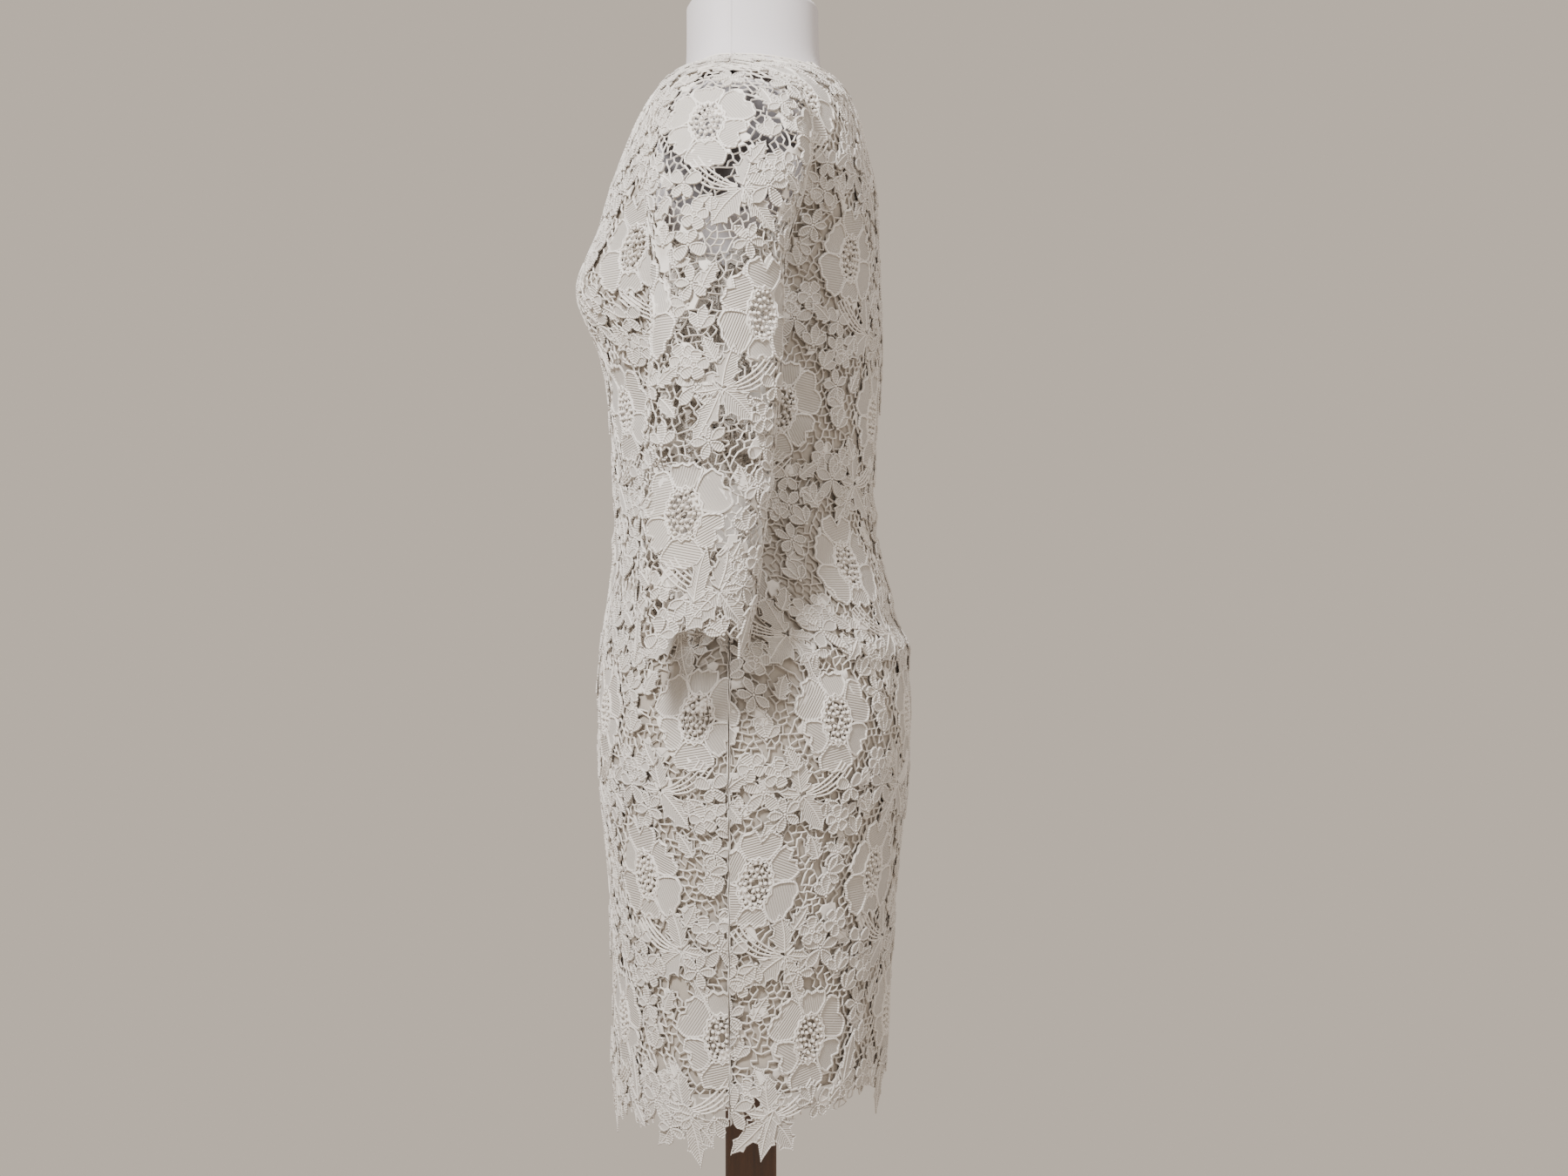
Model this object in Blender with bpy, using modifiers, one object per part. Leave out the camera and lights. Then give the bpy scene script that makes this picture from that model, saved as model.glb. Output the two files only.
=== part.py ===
"""A knee length lace dress standing on a limbless dress form with a square wooden post.

Metres, +Z up. The wearer's front faces -Y and the wearer's left is +X. The origin is the middle of
the base's underside. The body is a stack of level rings. A station is the cloth's length up the
side from the hem, and an angle runs round the body from the middle of the front or the back.
"""

import math
from collections import namedtuple

import bmesh
import bpy
import numpy as np
from mathutils import Vector

# Cloth
LACE_THICK = 0.0016
LINING_THICK = 0.0010
LINING_DEPTH = 0.0027  # lining's outer face below the lace's outer face
FORM_DEPTH = 0.0067  # form's surface below the lace's outer face
SHOULDER_HEIGHT = 1.370
SHOULDER_SPREAD = 0.024
LINING_SHOULDER_SINK = 0.0010  # extra depth at the shoulders
FORM_SHOULDER_SINK = 0.0036
SEAM_GAP = 0.0003
SEAM_Y = -0.015  # side and shoulder seams lie in this plane

# Body outline, measured to the lace's outer face
HEIGHT, HALF_WIDTH, FRONT, BACK, FRONT_SQUARE = range(5)
BODY_SECTIONS = {
    "below hem": (0.430, 0.1640, 0.121, 0.117, 2.2),
    "hem": (0.485, 0.1650, 0.121, 0.118, 2.2),
    "knee": (0.560, 0.1670, 0.122, 0.123, 2.2),
    "low thigh": (0.630, 0.1710, 0.125, 0.128, 2.2),
    "thigh": (0.700, 0.1760, 0.129, 0.134, 2.2),
    "low hip": (0.765, 0.1810, 0.136, 0.141, 2.2),
    "hip": (0.825, 0.1820, 0.138, 0.144, 2.2),
    "high hip": (0.880, 0.1750, 0.136, 0.141, 2.2),
    "belly": (0.930, 0.1610, 0.130, 0.130, 2.2),
    "low waist": (0.975, 0.1470, 0.124, 0.118, 2.2),
    "waist": (1.020, 0.1390, 0.123, 0.111, 2.2),
    "ribs": (1.080, 0.1440, 0.126, 0.114, 2.2),
    "under bust": (1.135, 0.1510, 0.131, 0.117, 2.3),
    "bust": (1.195, 0.1575, 0.144, 0.118, 2.5),
    "underarm": (1.235, 0.1630, 0.142, 0.117, 2.4),
    "chest": (1.270, 0.1780, 0.134, 0.115, 2.3),
    "upper chest": (1.305, 0.1890, 0.124, 0.112, 2.2),
    "shoulder end": (1.338, 0.1910, 0.110, 0.105, 2.2),
    "shoulder": (1.362, 0.1800, 0.098, 0.099, 2.2),
    "mid shoulder": (1.380, 0.1550, 0.087, 0.092, 2.2),
    "near neck": (1.393, 0.1220, 0.078, 0.086, 2.2),
    "neck base": (1.404, 0.0930, 0.071, 0.079, 2.1),
    "neck": (1.420, 0.0730, 0.067, 0.071, 2.0),
    "low neck": (1.437, 0.0675, 0.066, 0.069, 2.0),
    "neck top": (1.480, 0.0665, 0.066, 0.068, 2.0),
}
BACK_SQUARE = 2.2

# Cups and large soft folds, as bumps on the outline
Swell = namedtuple("Swell", "side across height rise spread_across spread_up")
SWELLS = {
    "left cup": Swell("front", 0.082, 1.205, 0.0150, 0.048, 0.040),
    "right cup": Swell("front", -0.082, 1.205, 0.0150, 0.048, 0.040),
    "left fold under cup": Swell("front", 0.098, 1.140, 0.0045, 0.030, 0.012),
    "right fold under cup": Swell("front", -0.090, 1.132, 0.0035, 0.034, 0.012),
    "seat fold": Swell("back", 0.050, 0.893, 0.0045, 0.060, 0.012),
    "seat hollow": Swell("back", 0.045, 0.918, -0.0030, 0.060, 0.012),
}

# Panel cut
PANEL_COLUMNS = 14
SKIRT_ROWS = 12
SKIRT_TOP = 1.100
BODICE_ROWS = (1.135, 1.165, 1.190, 1.209, 1.222, 1.229, 1.242, 1.262)
SHOULDER_ROWS = (1.290, 1.318, 1.342, 1.358, 1.369, 1.3765, 1.384, 1.394, 1.403, 1.411)
SEAM_STRIP = 0.02  # share of a half panel taken by the narrow strip beside each seam
HEM_HEIGHT = 0.497
HEM_DROP = 0.024
HEM_POINTS = 7  # leaf points along one panel's hem
NECK_HEIGHT = 1.411
NECK_HALF_WIDE = 0.080
FRONT_NECK_HEIGHT = 1.352
BACK_NECK_HEIGHT = 1.405
LINING_HEM_HEIGHT = 0.527
LINING_NECK_DROP = 0.004

# Armhole plane on the wearer's left: x = ARMHOLE_X + ARMHOLE_TURN * (y - ARMHOLE_Y)
ARMHOLE_X = 0.1600
ARMHOLE_Y = -0.022
ARMHOLE_TURN = 0.08
ARMHOLE_ABOVE = 1.20
ARMHOLE_BELOW = 1.40
ARMHOLE_LEVELS = 160
ARMHOLE_GAP = 0.0012
ARMHOLE_EASE = 0.70  # how far the columns inside an armhole keep from it

# Lace repeat, and its largest gaps as lengths from each big flower's middle
REPEAT_WIDE = 0.120
REPEAT_TALL = 0.127
FIRST_FLOWER_UP = 0.075
Gap = namedtuple("Gap", "across up half_wide half_tall turn")
REPEAT_GAPS = {
    "beside flower": Gap(0.052, 0.022, 0.0042, 0.0055, 20),
    "below flower": Gap(-0.012, -0.055, 0.0048, 0.0042, 35),
    "above spray": Gap(0.062, -0.034, 0.0050, 0.0045, -25),
    "between rows": Gap(0.028, 0.062, 0.0045, 0.0052, 10),
}
GAP_MARGIN = 0.0030
PANEL_HALF_FLAT = 0.28
LOWEST_GAP = 0.02
REPEAT_ROWS = range(-4, 9)
REPEAT_COLUMNS = range(-4, 5)
MOST_SLANT = 0.010  # cells whose sides lean further than this stay whole

# Sleeve
ACROSS, FORE, HALF_THICK, HALF_WIDE = range(1, 5)
SLEEVE_SECTIONS = {
    "biceps": (1.204, 0.2065, -0.0225, 0.0385, 0.0530),
    "upper arm": (1.120, 0.2075, -0.0265, 0.0385, 0.0525),
    "elbow": (1.020, 0.2095, -0.0330, 0.0375, 0.0505),
    "forearm": (0.950, 0.2120, -0.0385, 0.0360, 0.0470),
    "cuff": (0.895, 0.2145, -0.0430, 0.0350, 0.0440),
}
CUFF_POINTS = 2.5  # leaf points along half a cuff
CUFF_DROP = 0.014
CUFF_HEIGHT = 0.909
UNDERARM_ROUND = 0.010
CAP_SLOPE = 2.0  # above 1 the sleeve head falls sooner
CAP_ROWS = 5
TUBE_ROWS = 10
HALF_COLUMNS = 5
SLEEVE_HALF_FLAT = 0.150
CAP_FLAT = 0.150
SLEEVE_REPEAT_TALL = 0.150
SLEEVE_REPEAT_WIDE = 0.110
SLEEVE_FIRST_UP = {1: 0.062, -1: -0.010}  # front half, back half
LOWEST_SLEEVE_GAP = -0.28
HIGHEST_SLEEVE_GAP = 0.13
SLEEVE_GAPS = {
    "beside flower": Gap(0.054, 0.030, 0.0045, 0.0060, 15),
    "below flower": Gap(-0.010, -0.062, 0.0050, 0.0045, 30),
    "beside spray": Gap(0.030, 0.072, 0.0045, 0.0050, -20),
}

# Dress form and stand
FORM_BOTTOM = 0.700
FORM_SWELL = 0.6  # share of the cloth's cups and folds that the form has
FORM_SIDES = 32
FORM_ROWS = 18
YOKE_HEIGHT = 1.350  # the form's rows are set closely above this
YOKE_ROWS = 14
ARM_PLATE_OUT = 0.003
ARM_PLATE_DROP = 0.03  # how far below the armholes the arm plates reach
POST_SIDE = 0.046
POST_TOP = 0.770
BASE_RADIUS = 0.190
BASE_THICK = 0.030
SOCKET_OUT = 0.02  # how far a socket's cutter stands out of its piece
POST_BOTTOM = 0.012
SOFT_EDGE = 0.004
POST_EDGE = 0.002
ROUND_SIDES = 48

COLLECTION_NAME = "lace dress on a dress form"
FINISHES = {
    "lace": ((0.86, 0.83, 0.78, 1.0), 0.75),
    "lining": ((0.80, 0.76, 0.70, 1.0), 0.60),
    "form cover": ((0.74, 0.72, 0.72, 1.0), 0.70),
    "wood": ((0.17, 0.085, 0.040, 1.0), 0.45),
}


class Curve:
    """Rows of a section table joined by smooth curves, read at any station."""

    def __init__(self, stations, rows):
        self.stations = stations
        self.rows = rows
        inner = (rows[2:] - rows[:-2]) / (stations[2:] - stations[:-2])[:, None]
        first = (rows[1] - rows[0]) / (stations[1] - stations[0])
        last = (rows[-1] - rows[-2]) / (stations[-1] - stations[-2])
        self.slopes = np.vstack([first, inner, last])

    def read(self, at):
        i = int(np.clip(np.searchsorted(self.stations, at) - 1, 0, len(self.stations) - 2))
        step = self.stations[i + 1] - self.stations[i]
        t = (at - self.stations[i]) / step
        start = self.rows[i] * (2 * t**3 - 3 * t**2 + 1)
        end = self.rows[i + 1] * (3 * t**2 - 2 * t**3)
        bend = self.slopes[i] * (t**3 - 2 * t**2 + t) + self.slopes[i + 1] * (t**3 - t**2)
        return start + end + bend * step


BODY_ROWS = np.array(list(BODY_SECTIONS.values()))
BODY_STEPS = np.hypot(np.diff(BODY_ROWS[:, HEIGHT]), np.diff(BODY_ROWS[:, HALF_WIDTH]))
BODY = Curve(np.concatenate([[0.0], np.cumsum(BODY_STEPS)]) - BODY_STEPS[0], BODY_ROWS)
SLEEVE_ROWS = np.array(list(SLEEVE_SECTIONS.values()))
SLEEVE = Curve(SLEEVE_ROWS[0, HEIGHT] - SLEEVE_ROWS[:, HEIGHT], SLEEVE_ROWS)
FINE_STATIONS = np.linspace(BODY.stations[0], BODY.stations[-1], 400)
FINE_HEIGHTS = np.array([BODY.read(station)[HEIGHT] for station in FINE_STATIONS])


def station_at(height):
    """The station of a level of the body."""
    return float(np.interp(height, FINE_HEIGHTS, FINE_STATIONS))


LOWER_HEIGHTS = [*np.linspace(LINING_HEM_HEIGHT, SKIRT_TOP, SKIRT_ROWS), *BODICE_ROWS]
LOWER_STATIONS = [station_at(height) for height in LOWER_HEIGHTS]
SHOULDER_STATIONS = np.array([station_at(height) for height in SHOULDER_ROWS])
SHOULDER_SHARES = (SHOULDER_STATIONS - LOWER_STATIONS[-1]) / (SHOULDER_STATIONS[-1] - LOWER_STATIONS[-1])


def body_ring(side, station, angles, swell=1.0):
    """Points of one level of the lace's outer face."""
    height, half_width, front, back, square = BODY.read(station)
    forward = -1.0 if side == "front" else 1.0
    depth = front + SEAM_Y if side == "front" else back - SEAM_Y
    power = 2 / (square if side == "front" else BACK_SQUARE)
    away = np.cos(angles)
    x = half_width * np.sign(angles) * np.abs(np.sin(angles)) ** power
    out = depth * np.sign(away) * np.abs(away) ** power
    for bump in SWELLS.values():
        if bump.side == side:
            away_across = (x - bump.across) / bump.spread_across
            away_up = (height - bump.height) / bump.spread_up
            out = out + swell * bump.rise * np.exp(-(away_across**2) - away_up**2)
    return np.stack([x, SEAM_Y + forward * out, np.full_like(x, height)], axis=1)


def body_point(side, station, angle, depth, swell=1.0):
    """A point sunk under the lace's outer face, square to it."""
    turn, climb = 0.02, 0.002
    before, here, after = body_ring(side, station, np.array([angle - turn, angle, angle + turn]), swell)
    below = body_ring(side, station - climb, np.array([angle]), swell)[0]
    above = body_ring(side, station + climb, np.array([angle]), swell)[0]
    square_out = np.cross(after - before, above - below)
    if square_out[:2] @ (here[:2] - np.array([0.0, SEAM_Y])) < 0:
        square_out = -square_out
    return Vector(here - square_out / np.linalg.norm(square_out) * depth)


def shoulder_sink(station, most):
    """How much deeper a layer lies round the shoulders."""
    return most * math.exp(-(((BODY.read(station)[HEIGHT] - SHOULDER_HEIGHT) / SHOULDER_SPREAD) ** 2))


def past_armhole(points):
    """How far points of the left half lie outside the armhole plane."""
    return points[:, 0] - ARMHOLE_X - ARMHOLE_TURN * (points[:, 1] - ARMHOLE_Y)


def seam_angle(side, station):
    """The angle at which a panel ends: at the armhole's plane, or else at the seam."""
    angles = np.linspace(0.0, math.pi / 2, 120)
    ring = body_ring(side, station, angles)
    past = past_armhole(ring)
    if ring[0, 2] < ARMHOLE_ABOVE or past.max() <= 0:
        return math.pi / 2
    i = int(np.argmax(past > 0))
    return float(angles[i - 1] + (angles[i] - angles[i - 1]) * past[i - 1] / (past[i - 1] - past[i]))


def flat_place(side, station, angle):
    """Cloth lengths round from the panel's middle and up from the hem."""
    ring = body_ring(side, station, np.linspace(0.0, angle, 40))
    return float(np.linalg.norm(np.diff(ring, axis=0), axis=1).sum()) * np.sign(angle), station


def grid_sheet(across_stops, up_stops):
    """A flat grid with its corners at the given stops."""
    bm = bmesh.new()
    wide, tall = len(across_stops) - 1, len(up_stops) - 1
    bmesh.ops.create_grid(bm, x_segments=wide, y_segments=tall, size=0.5)
    for corner in bm.verts:
        corner.co.x = across_stops[round((corner.co.x + 0.5) * wide)]
        corner.co.y = up_stops[round((corner.co.y + 0.5) * tall)]
    return bm


def pierce(bm, gaps, measure):
    """Cuts each gap as a turned four-sided hole through its cell; gives each new corner's place in it."""
    cells, held_in = {}, {}
    for face in bm.faces:
        places = np.array([measure(corner.co.x, corner.co.y) for corner in face.verts])
        low, high = places.min(axis=0), places.max(axis=0)
        slant = np.sort(places[:, 0])
        if slant[1] - slant[0] + slant[3] - slant[2] < MOST_SLANT:
            cells[face] = (low, high)
    for gap in gaps:
        wanted = np.array([gap.across, gap.up])
        reach = np.array([gap.half_wide, gap.half_tall]) + GAP_MARGIN
        held = [f for f, (low, high) in cells.items() if (low < wanted).all() and (wanted < high).all()]
        if not held or (cells[held[0]][1] - cells[held[0]][0] < 2 * reach).any():
            continue
        face = held[0]
        low, high = cells.pop(face)
        corners = sorted(face.verts, key=lambda corner: (round(corner.co.y, 5), corner.co.x))
        middle_flat = np.clip(wanted, low + reach, high - reach)
        bmesh.ops.inset_individual(bm, faces=[face], thickness=1e-4)
        middle = face.calc_center_median()
        angle = math.radians(gap.turn)
        for corner in face.verts:
            side = math.copysign(gap.half_wide, corner.co.x - middle.x)
            lift = math.copysign(gap.half_tall, corner.co.y - middle.y)
            shift = np.array(
                [
                    side * math.cos(angle) - lift * math.sin(angle) / 2,
                    lift * math.cos(angle) + side * math.sin(angle) / 2,
                ]
            )
            held_in[corner] = (corners, *((middle_flat + shift - low) / (high - low)))
        bmesh.ops.delete(bm, geom=[face], context="FACES_ONLY")
    return held_in


def seat_gap_corners(held_in):
    """Places each gap's corners between the four corners of its cell."""
    for corner, (around, across, up) in held_in.items():
        below = around[0].co.lerp(around[1].co, across)
        corner.co = below.lerp(around[2].co.lerp(around[3].co, across), up)


def repeat_gaps(half, low, high, wide, tall, first_up, table):
    """The largest gaps of every repeat, alternate rows set half a repeat over and mirrored."""
    for row in REPEAT_ROWS:
        hand = -1 if row % 2 else 1
        for column in REPEAT_COLUMNS:
            for gap in table.values():
                across = (column + (row % 2) / 2) * wide + gap.across * hand
                up = first_up + row * tall + gap.up
                if abs(across) < half and low < up < high:
                    yield gap._replace(across=across, up=up, turn=gap.turn * hand)


def make_wall(name, bm, thick, finish, core):
    """Turns a sheet outwards and gives it its thickness, inwards; layers bend along the same lines."""
    bmesh.ops.triangulate(bm, faces=bm.faces, quad_method="SHORT_EDGE")
    bmesh.ops.recalc_face_normals(bm, faces=bm.faces)
    outward = 0.0
    for face in bm.faces:
        middle = face.calc_center_median()
        outward += face.normal.dot(middle - core(middle)) * face.calc_area()
    if outward < 0:
        bmesh.ops.reverse_faces(bm, faces=bm.faces)
    piece = add_piece(name, bm, finish)
    wall = piece.modifiers.new("Wall", "SOLIDIFY")
    wall.thickness = thick
    wall.offset = -1.0


def wave(share):
    """A zigzag from 0 to 1 and back for each unit of share."""
    return 1 - abs(share % 1.0 - 0.5) * 2


def neck_height(side, share):
    """The height at which a column meets the round neckline, lower at the front."""
    drop = NECK_HEIGHT - (FRONT_NECK_HEIGHT if side == "front" else BACK_NECK_HEIGHT)
    low, high = NECK_HEIGHT - drop, NECK_HEIGHT
    for _ in range(24):
        middle = (low + high) / 2
        across = BODY.read(station_at(middle))[HALF_WIDTH] * abs(math.sin(share * math.pi / 2))
        line = NECK_HEIGHT - drop * math.sqrt(max(0.0, 1 - (across / NECK_HALF_WIDE) ** 2))
        low, high = (middle, high) if middle < line else (low, middle)
    return (low + high) / 2


def body_panel(side, name, depth, thick, finish, pointed):
    """A front or back, cut to its seams, armholes, neck and hem."""
    neck_drop = 0.0 if pointed else LINING_NECK_DROP

    def level(share, row):
        neck = station_at(neck_height(side, share))
        base = LOWER_STATIONS[-1]
        rows = [*LOWER_STATIONS, *(base + SHOULDER_SHARES * (neck - base))]
        rows[-1] -= neck_drop
        if pointed:
            rows.insert(0, station_at(HEM_HEIGHT - HEM_DROP * wave(share * HEM_POINTS / 2 + 0.5)))
        return float(np.interp(row, range(len(rows)), rows))

    def spot(share, row):
        station = level(share, row)
        most = seam_angle(side, station) * (ARMHOLE_EASE + (1 - ARMHOLE_EASE) * abs(share))
        angle = min(abs(share) * seam_angle(side, level(1.0, row)), most)
        return station, math.copysign(angle, share)

    stops = np.linspace(-1.0, 1.0, PANEL_COLUMNS + 1)
    edge = 1 - SEAM_STRIP
    row_count = len(LOWER_STATIONS) + len(SHOULDER_SHARES) + (1 if pointed else 0)
    bm = grid_sheet(np.sort(np.append(stops, [-edge, edge])), range(row_count))
    held_in = {}
    if pointed:
        top = BODY.stations[-1]
        gaps = repeat_gaps(
            PANEL_HALF_FLAT, LOWEST_GAP, top, REPEAT_WIDE, REPEAT_TALL, FIRST_FLOWER_UP, REPEAT_GAPS
        )
        held_in = pierce(bm, gaps, lambda share, row: flat_place(side, *spot(share, row)))
    for corner in bm.verts:
        if corner in held_in:
            continue
        share = corner.co.x
        station, angle = spot(share, corner.co.y)
        sunk = depth + (0.0 if pointed else shoulder_sink(station, LINING_SHOULDER_SINK))
        point = body_point(side, station, angle, sunk)
        if abs(angle) > math.pi / 2 - 1e-6:
            point.y = SEAM_Y + (-1 if side == "front" else 1) * SEAM_GAP / 2
        corner.co = point
    seat_gap_corners(held_in)

    def core(middle):
        return Vector((0.0, SEAM_Y, min(middle.z, BODICE_ROWS[-1])))

    make_wall(name, bm, thick, finish, core)


def armhole_loop():
    """The armhole's middle, and its outline as distances by angle round it from the top, forwards first."""
    crossings = []
    for station in np.linspace(station_at(ARMHOLE_ABOVE), station_at(ARMHOLE_BELOW), ARMHOLE_LEVELS):
        for side in ("front", "back"):
            angle = seam_angle(side, station)
            if angle < math.pi / 2:
                crossings.append(body_ring(side, station, np.array([angle]))[0])
    loop = np.array(crossings)
    centre = (loop.min(axis=0) + loop.max(axis=0)) / 2
    centre[0] = ARMHOLE_X + ARMHOLE_TURN * (centre[1] - ARMHOLE_Y)
    local = loop - centre
    angles = np.arctan2(-local[:, 1], local[:, 2])
    order = np.argsort(angles)
    return centre, angles[order], np.hypot(local[:, 1], local[:, 2])[order]


ARM_CENTRE, ARM_ANGLES, ARM_REACHES = armhole_loop()


def arm_reach(angle):
    return float(np.interp(angle, ARM_ANGLES, ARM_REACHES, period=2 * math.pi))


ARM_LOW = arm_reach(math.pi)


def sleeve_outer(angle, up):
    """A point of the left sleeve's outer face: up is above the biceps line, below it negative."""
    if up <= 0:
        height, across, fore, thick, wide = SLEEVE.read(-up)
        return np.array([across + thick * math.cos(angle), fore - wide * math.sin(angle), height])
    _, across, fore, thick, wide = SLEEVE_ROWS[0]
    share = 1 - up / CAP_FLAT
    ease = share * share * (3 - 2 * share)
    half = thick + (ARM_LOW - thick) * (1 - share) ** CAP_SLOPE
    turn = share * math.pi / 2
    direction = np.array([math.sin(turn), 0.0, math.cos(turn)])
    underarm = ARM_CENTRE + np.array([ARMHOLE_GAP, 0.0, -ARM_LOW - UNDERARM_ROUND])
    middle = underarm + direction * (UNDERARM_ROUND + half)
    end = np.array([across, fore, SLEEVE_ROWS[0, HEIGHT]])
    middle += (end - underarm - np.array([UNDERARM_ROUND + thick, 0.0, 0.0])) * ease
    reach = arm_reach(angle)
    lift = (1 - ease) * reach * math.cos(angle) * half / ARM_LOW + ease * half * math.cos(angle)
    forward = (1 - ease) * reach * math.sin(angle) + ease * wide * math.sin(angle)
    point = middle + direction * lift
    point[1] -= forward
    point[0] -= ARMHOLE_TURN * forward * (1 - ease)
    return point


def sleeve_half(name, fore, hand):
    """One half of a sleeve, split along its outer line and underarm line."""

    def level(share, climb):
        cuff = CUFF_HEIGHT - CUFF_DROP * wave(share * CUFF_POINTS) - SLEEVE_ROWS[0, HEIGHT]
        return cuff * (1 - climb) if climb <= 1 else CAP_FLAT * (climb - 1)

    def measure(share, climb):
        return share * SLEEVE_HALF_FLAT, level(share, climb)

    edge = SEAM_STRIP * 1.5
    stops = np.sort(np.append(np.linspace(0.0, 1.0, HALF_COLUMNS + 1), [edge, 1 - edge]))
    climbs = np.append(np.linspace(0.0, 1.0, TUBE_ROWS + 1), np.linspace(1.0, 2.0, CAP_ROWS + 1)[1:])
    bm = grid_sheet(stops, climbs)
    gaps = repeat_gaps(
        SLEEVE_HALF_FLAT,
        LOWEST_SLEEVE_GAP,
        HIGHEST_SLEEVE_GAP,
        SLEEVE_REPEAT_WIDE,
        SLEEVE_REPEAT_TALL,
        SLEEVE_FIRST_UP[fore],
        SLEEVE_GAPS,
    )
    held_in = pierce(bm, [gap for gap in gaps if gap.across > 0], measure)
    for corner in bm.verts:
        if corner in held_in:
            continue
        point = sleeve_outer(corner.co.x * math.pi * fore, level(corner.co.x, corner.co.y))
        if corner.co.x < 1e-6 or corner.co.x > 1 - 1e-6:
            point[1] -= fore * SEAM_GAP / 2
        corner.co = Vector((point[0] * hand, point[1], point[2]))
    seat_gap_corners(held_in)
    axis_x = SLEEVE_ROWS[0, ACROSS] * hand

    def core(middle):
        if middle.z > SLEEVE_ROWS[0, HEIGHT]:
            return Vector((ARM_CENTRE[0] * hand, ARM_CENTRE[1], SLEEVE_ROWS[0, HEIGHT]))
        return Vector((axis_x, SLEEVE.read(SLEEVE_ROWS[0, HEIGHT] - middle.z)[FORE], middle.z))

    make_wall(name, bm, LACE_THICK, "lace", core)


def close_sheet(bm):
    """Joins a wrapped sheet's edges and closes its open ends."""
    bmesh.ops.remove_doubles(bm, verts=bm.verts, dist=1e-5)
    bmesh.ops.holes_fill(bm, edges=[edge for edge in bm.edges if edge.is_boundary])
    bmesh.ops.recalc_face_normals(bm, faces=bm.faces)


def build_form():
    """The whole smooth torso with its neck, flat arm plates and a socket for the post."""
    yoke = station_at(YOKE_HEIGHT)
    stations = np.append(
        np.linspace(station_at(FORM_BOTTOM), yoke, FORM_ROWS + 1),
        np.linspace(yoke, BODY.stations[-1], YOKE_ROWS + 1)[1:],
    )
    bm = grid_sheet(np.linspace(0.0, 1.0, FORM_SIDES + 1), stations)
    for corner in bm.verts:
        turn = (corner.co.x % 1.0) * 360.0 - 90.0
        side = "front" if turn <= 90.0 else "back"
        angle = math.radians(turn if side == "front" else 180.0 - turn)
        depth = FORM_DEPTH + shoulder_sink(corner.co.y, FORM_SHOULDER_SINK)
        corner.co = body_point(side, corner.co.y, angle, depth, FORM_SWELL)
    close_sheet(bm)
    for hand in (-1, 1):
        everything = [*bm.verts, *bm.edges, *bm.faces]
        spot = (hand * (ARMHOLE_X + ARM_PLATE_OUT), ARMHOLE_Y, 0.0)
        upper = [item for item in everything if min_height(item) > ARMHOLE_ABOVE - ARM_PLATE_DROP]
        bmesh.ops.bisect_plane(
            bm, geom=upper, dist=1e-5, plane_co=spot, plane_no=(hand, -ARMHOLE_TURN, 0.0), clear_outer=True
        )
        bmesh.ops.holes_fill(bm, edges=[edge for edge in bm.edges if edge.is_boundary])
    bmesh.ops.recalc_face_normals(bm, faces=bm.faces)
    rim = [edge for edge in bm.edges if min_height(edge) > BODY_ROWS[-1, HEIGHT] - SOFT_EDGE / 2]
    bmesh.ops.bevel(bm, geom=rim, offset=SOFT_EDGE, segments=2, profile=0.5, affect="EDGES", material=-1)
    form = add_piece("dress_form", bm, "form cover")
    socket(form, "post socket", FORM_BOTTOM - SOCKET_OUT, POST_TOP + SEAM_GAP)


def min_height(item):
    """The lowest corner of a vertex, edge or face."""
    return item.co.z if isinstance(item, bmesh.types.BMVert) else min(corner.co.z for corner in item.verts)


def box_mesh(low, high, side):
    """A square upright box as a bmesh."""
    bm = bmesh.new()
    bmesh.ops.create_cube(bm, size=1.0)
    bmesh.ops.scale(bm, vec=(side, side, high - low), verts=bm.verts)
    bmesh.ops.translate(bm, vec=(0.0, 0.0, (low + high) / 2), verts=bm.verts)
    return bm


def socket(piece, name, low, high):
    """Cuts the square hole that the post fits."""
    mesh = bpy.data.meshes.new(name)
    bm = box_mesh(low, high, POST_SIDE + 2 * SEAM_GAP)
    bm.to_mesh(mesh)
    bm.free()
    cutter = bpy.data.objects.new(name, mesh)
    cutter.hide_render = True
    cutter.display_type = "WIRE"
    CUTTERS.objects.link(cutter)
    cut = piece.modifiers.new("Socket", "BOOLEAN")
    cut.operation = "DIFFERENCE"
    cut.solver = "EXACT"
    cut.object = cutter


def build_post():
    """The square wooden post, from the base up into the form."""
    post = add_piece("post", box_mesh(POST_BOTTOM, POST_TOP, POST_SIDE), "wood")
    soften(post, POST_EDGE, 1)


def build_base():
    """The round wooden foot."""
    bm = bmesh.new()
    bmesh.ops.create_cone(
        bm, cap_ends=True, segments=ROUND_SIDES, radius1=BASE_RADIUS, radius2=BASE_RADIUS, depth=BASE_THICK
    )
    bmesh.ops.translate(bm, vec=(0.0, 0.0, BASE_THICK / 2), verts=bm.verts)
    base = add_piece("base", bm, "wood")
    soften(base, SOFT_EDGE, 2)
    socket(base, "base socket", POST_BOTTOM - SEAM_GAP, BASE_THICK + SOCKET_OUT)


def soften(piece, width, segments):
    """Rounds the sharp edges."""
    bevel = piece.modifiers.new("Soft edges", "BEVEL")
    bevel.width = width
    bevel.segments = segments
    bevel.limit_method = "ANGLE"
    bevel.angle_limit = math.radians(50)


def make_material(name, colour, roughness):
    """A plain finish."""
    material = bpy.data.materials.new(name)
    material.use_nodes = True
    shader = material.node_tree.nodes["Principled BSDF"]
    shader.inputs["Base Color"].default_value = colour
    shader.inputs["Roughness"].default_value = roughness
    shader.inputs["Metallic"].default_value = 0.0
    material.diffuse_color = colour
    return material


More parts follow.
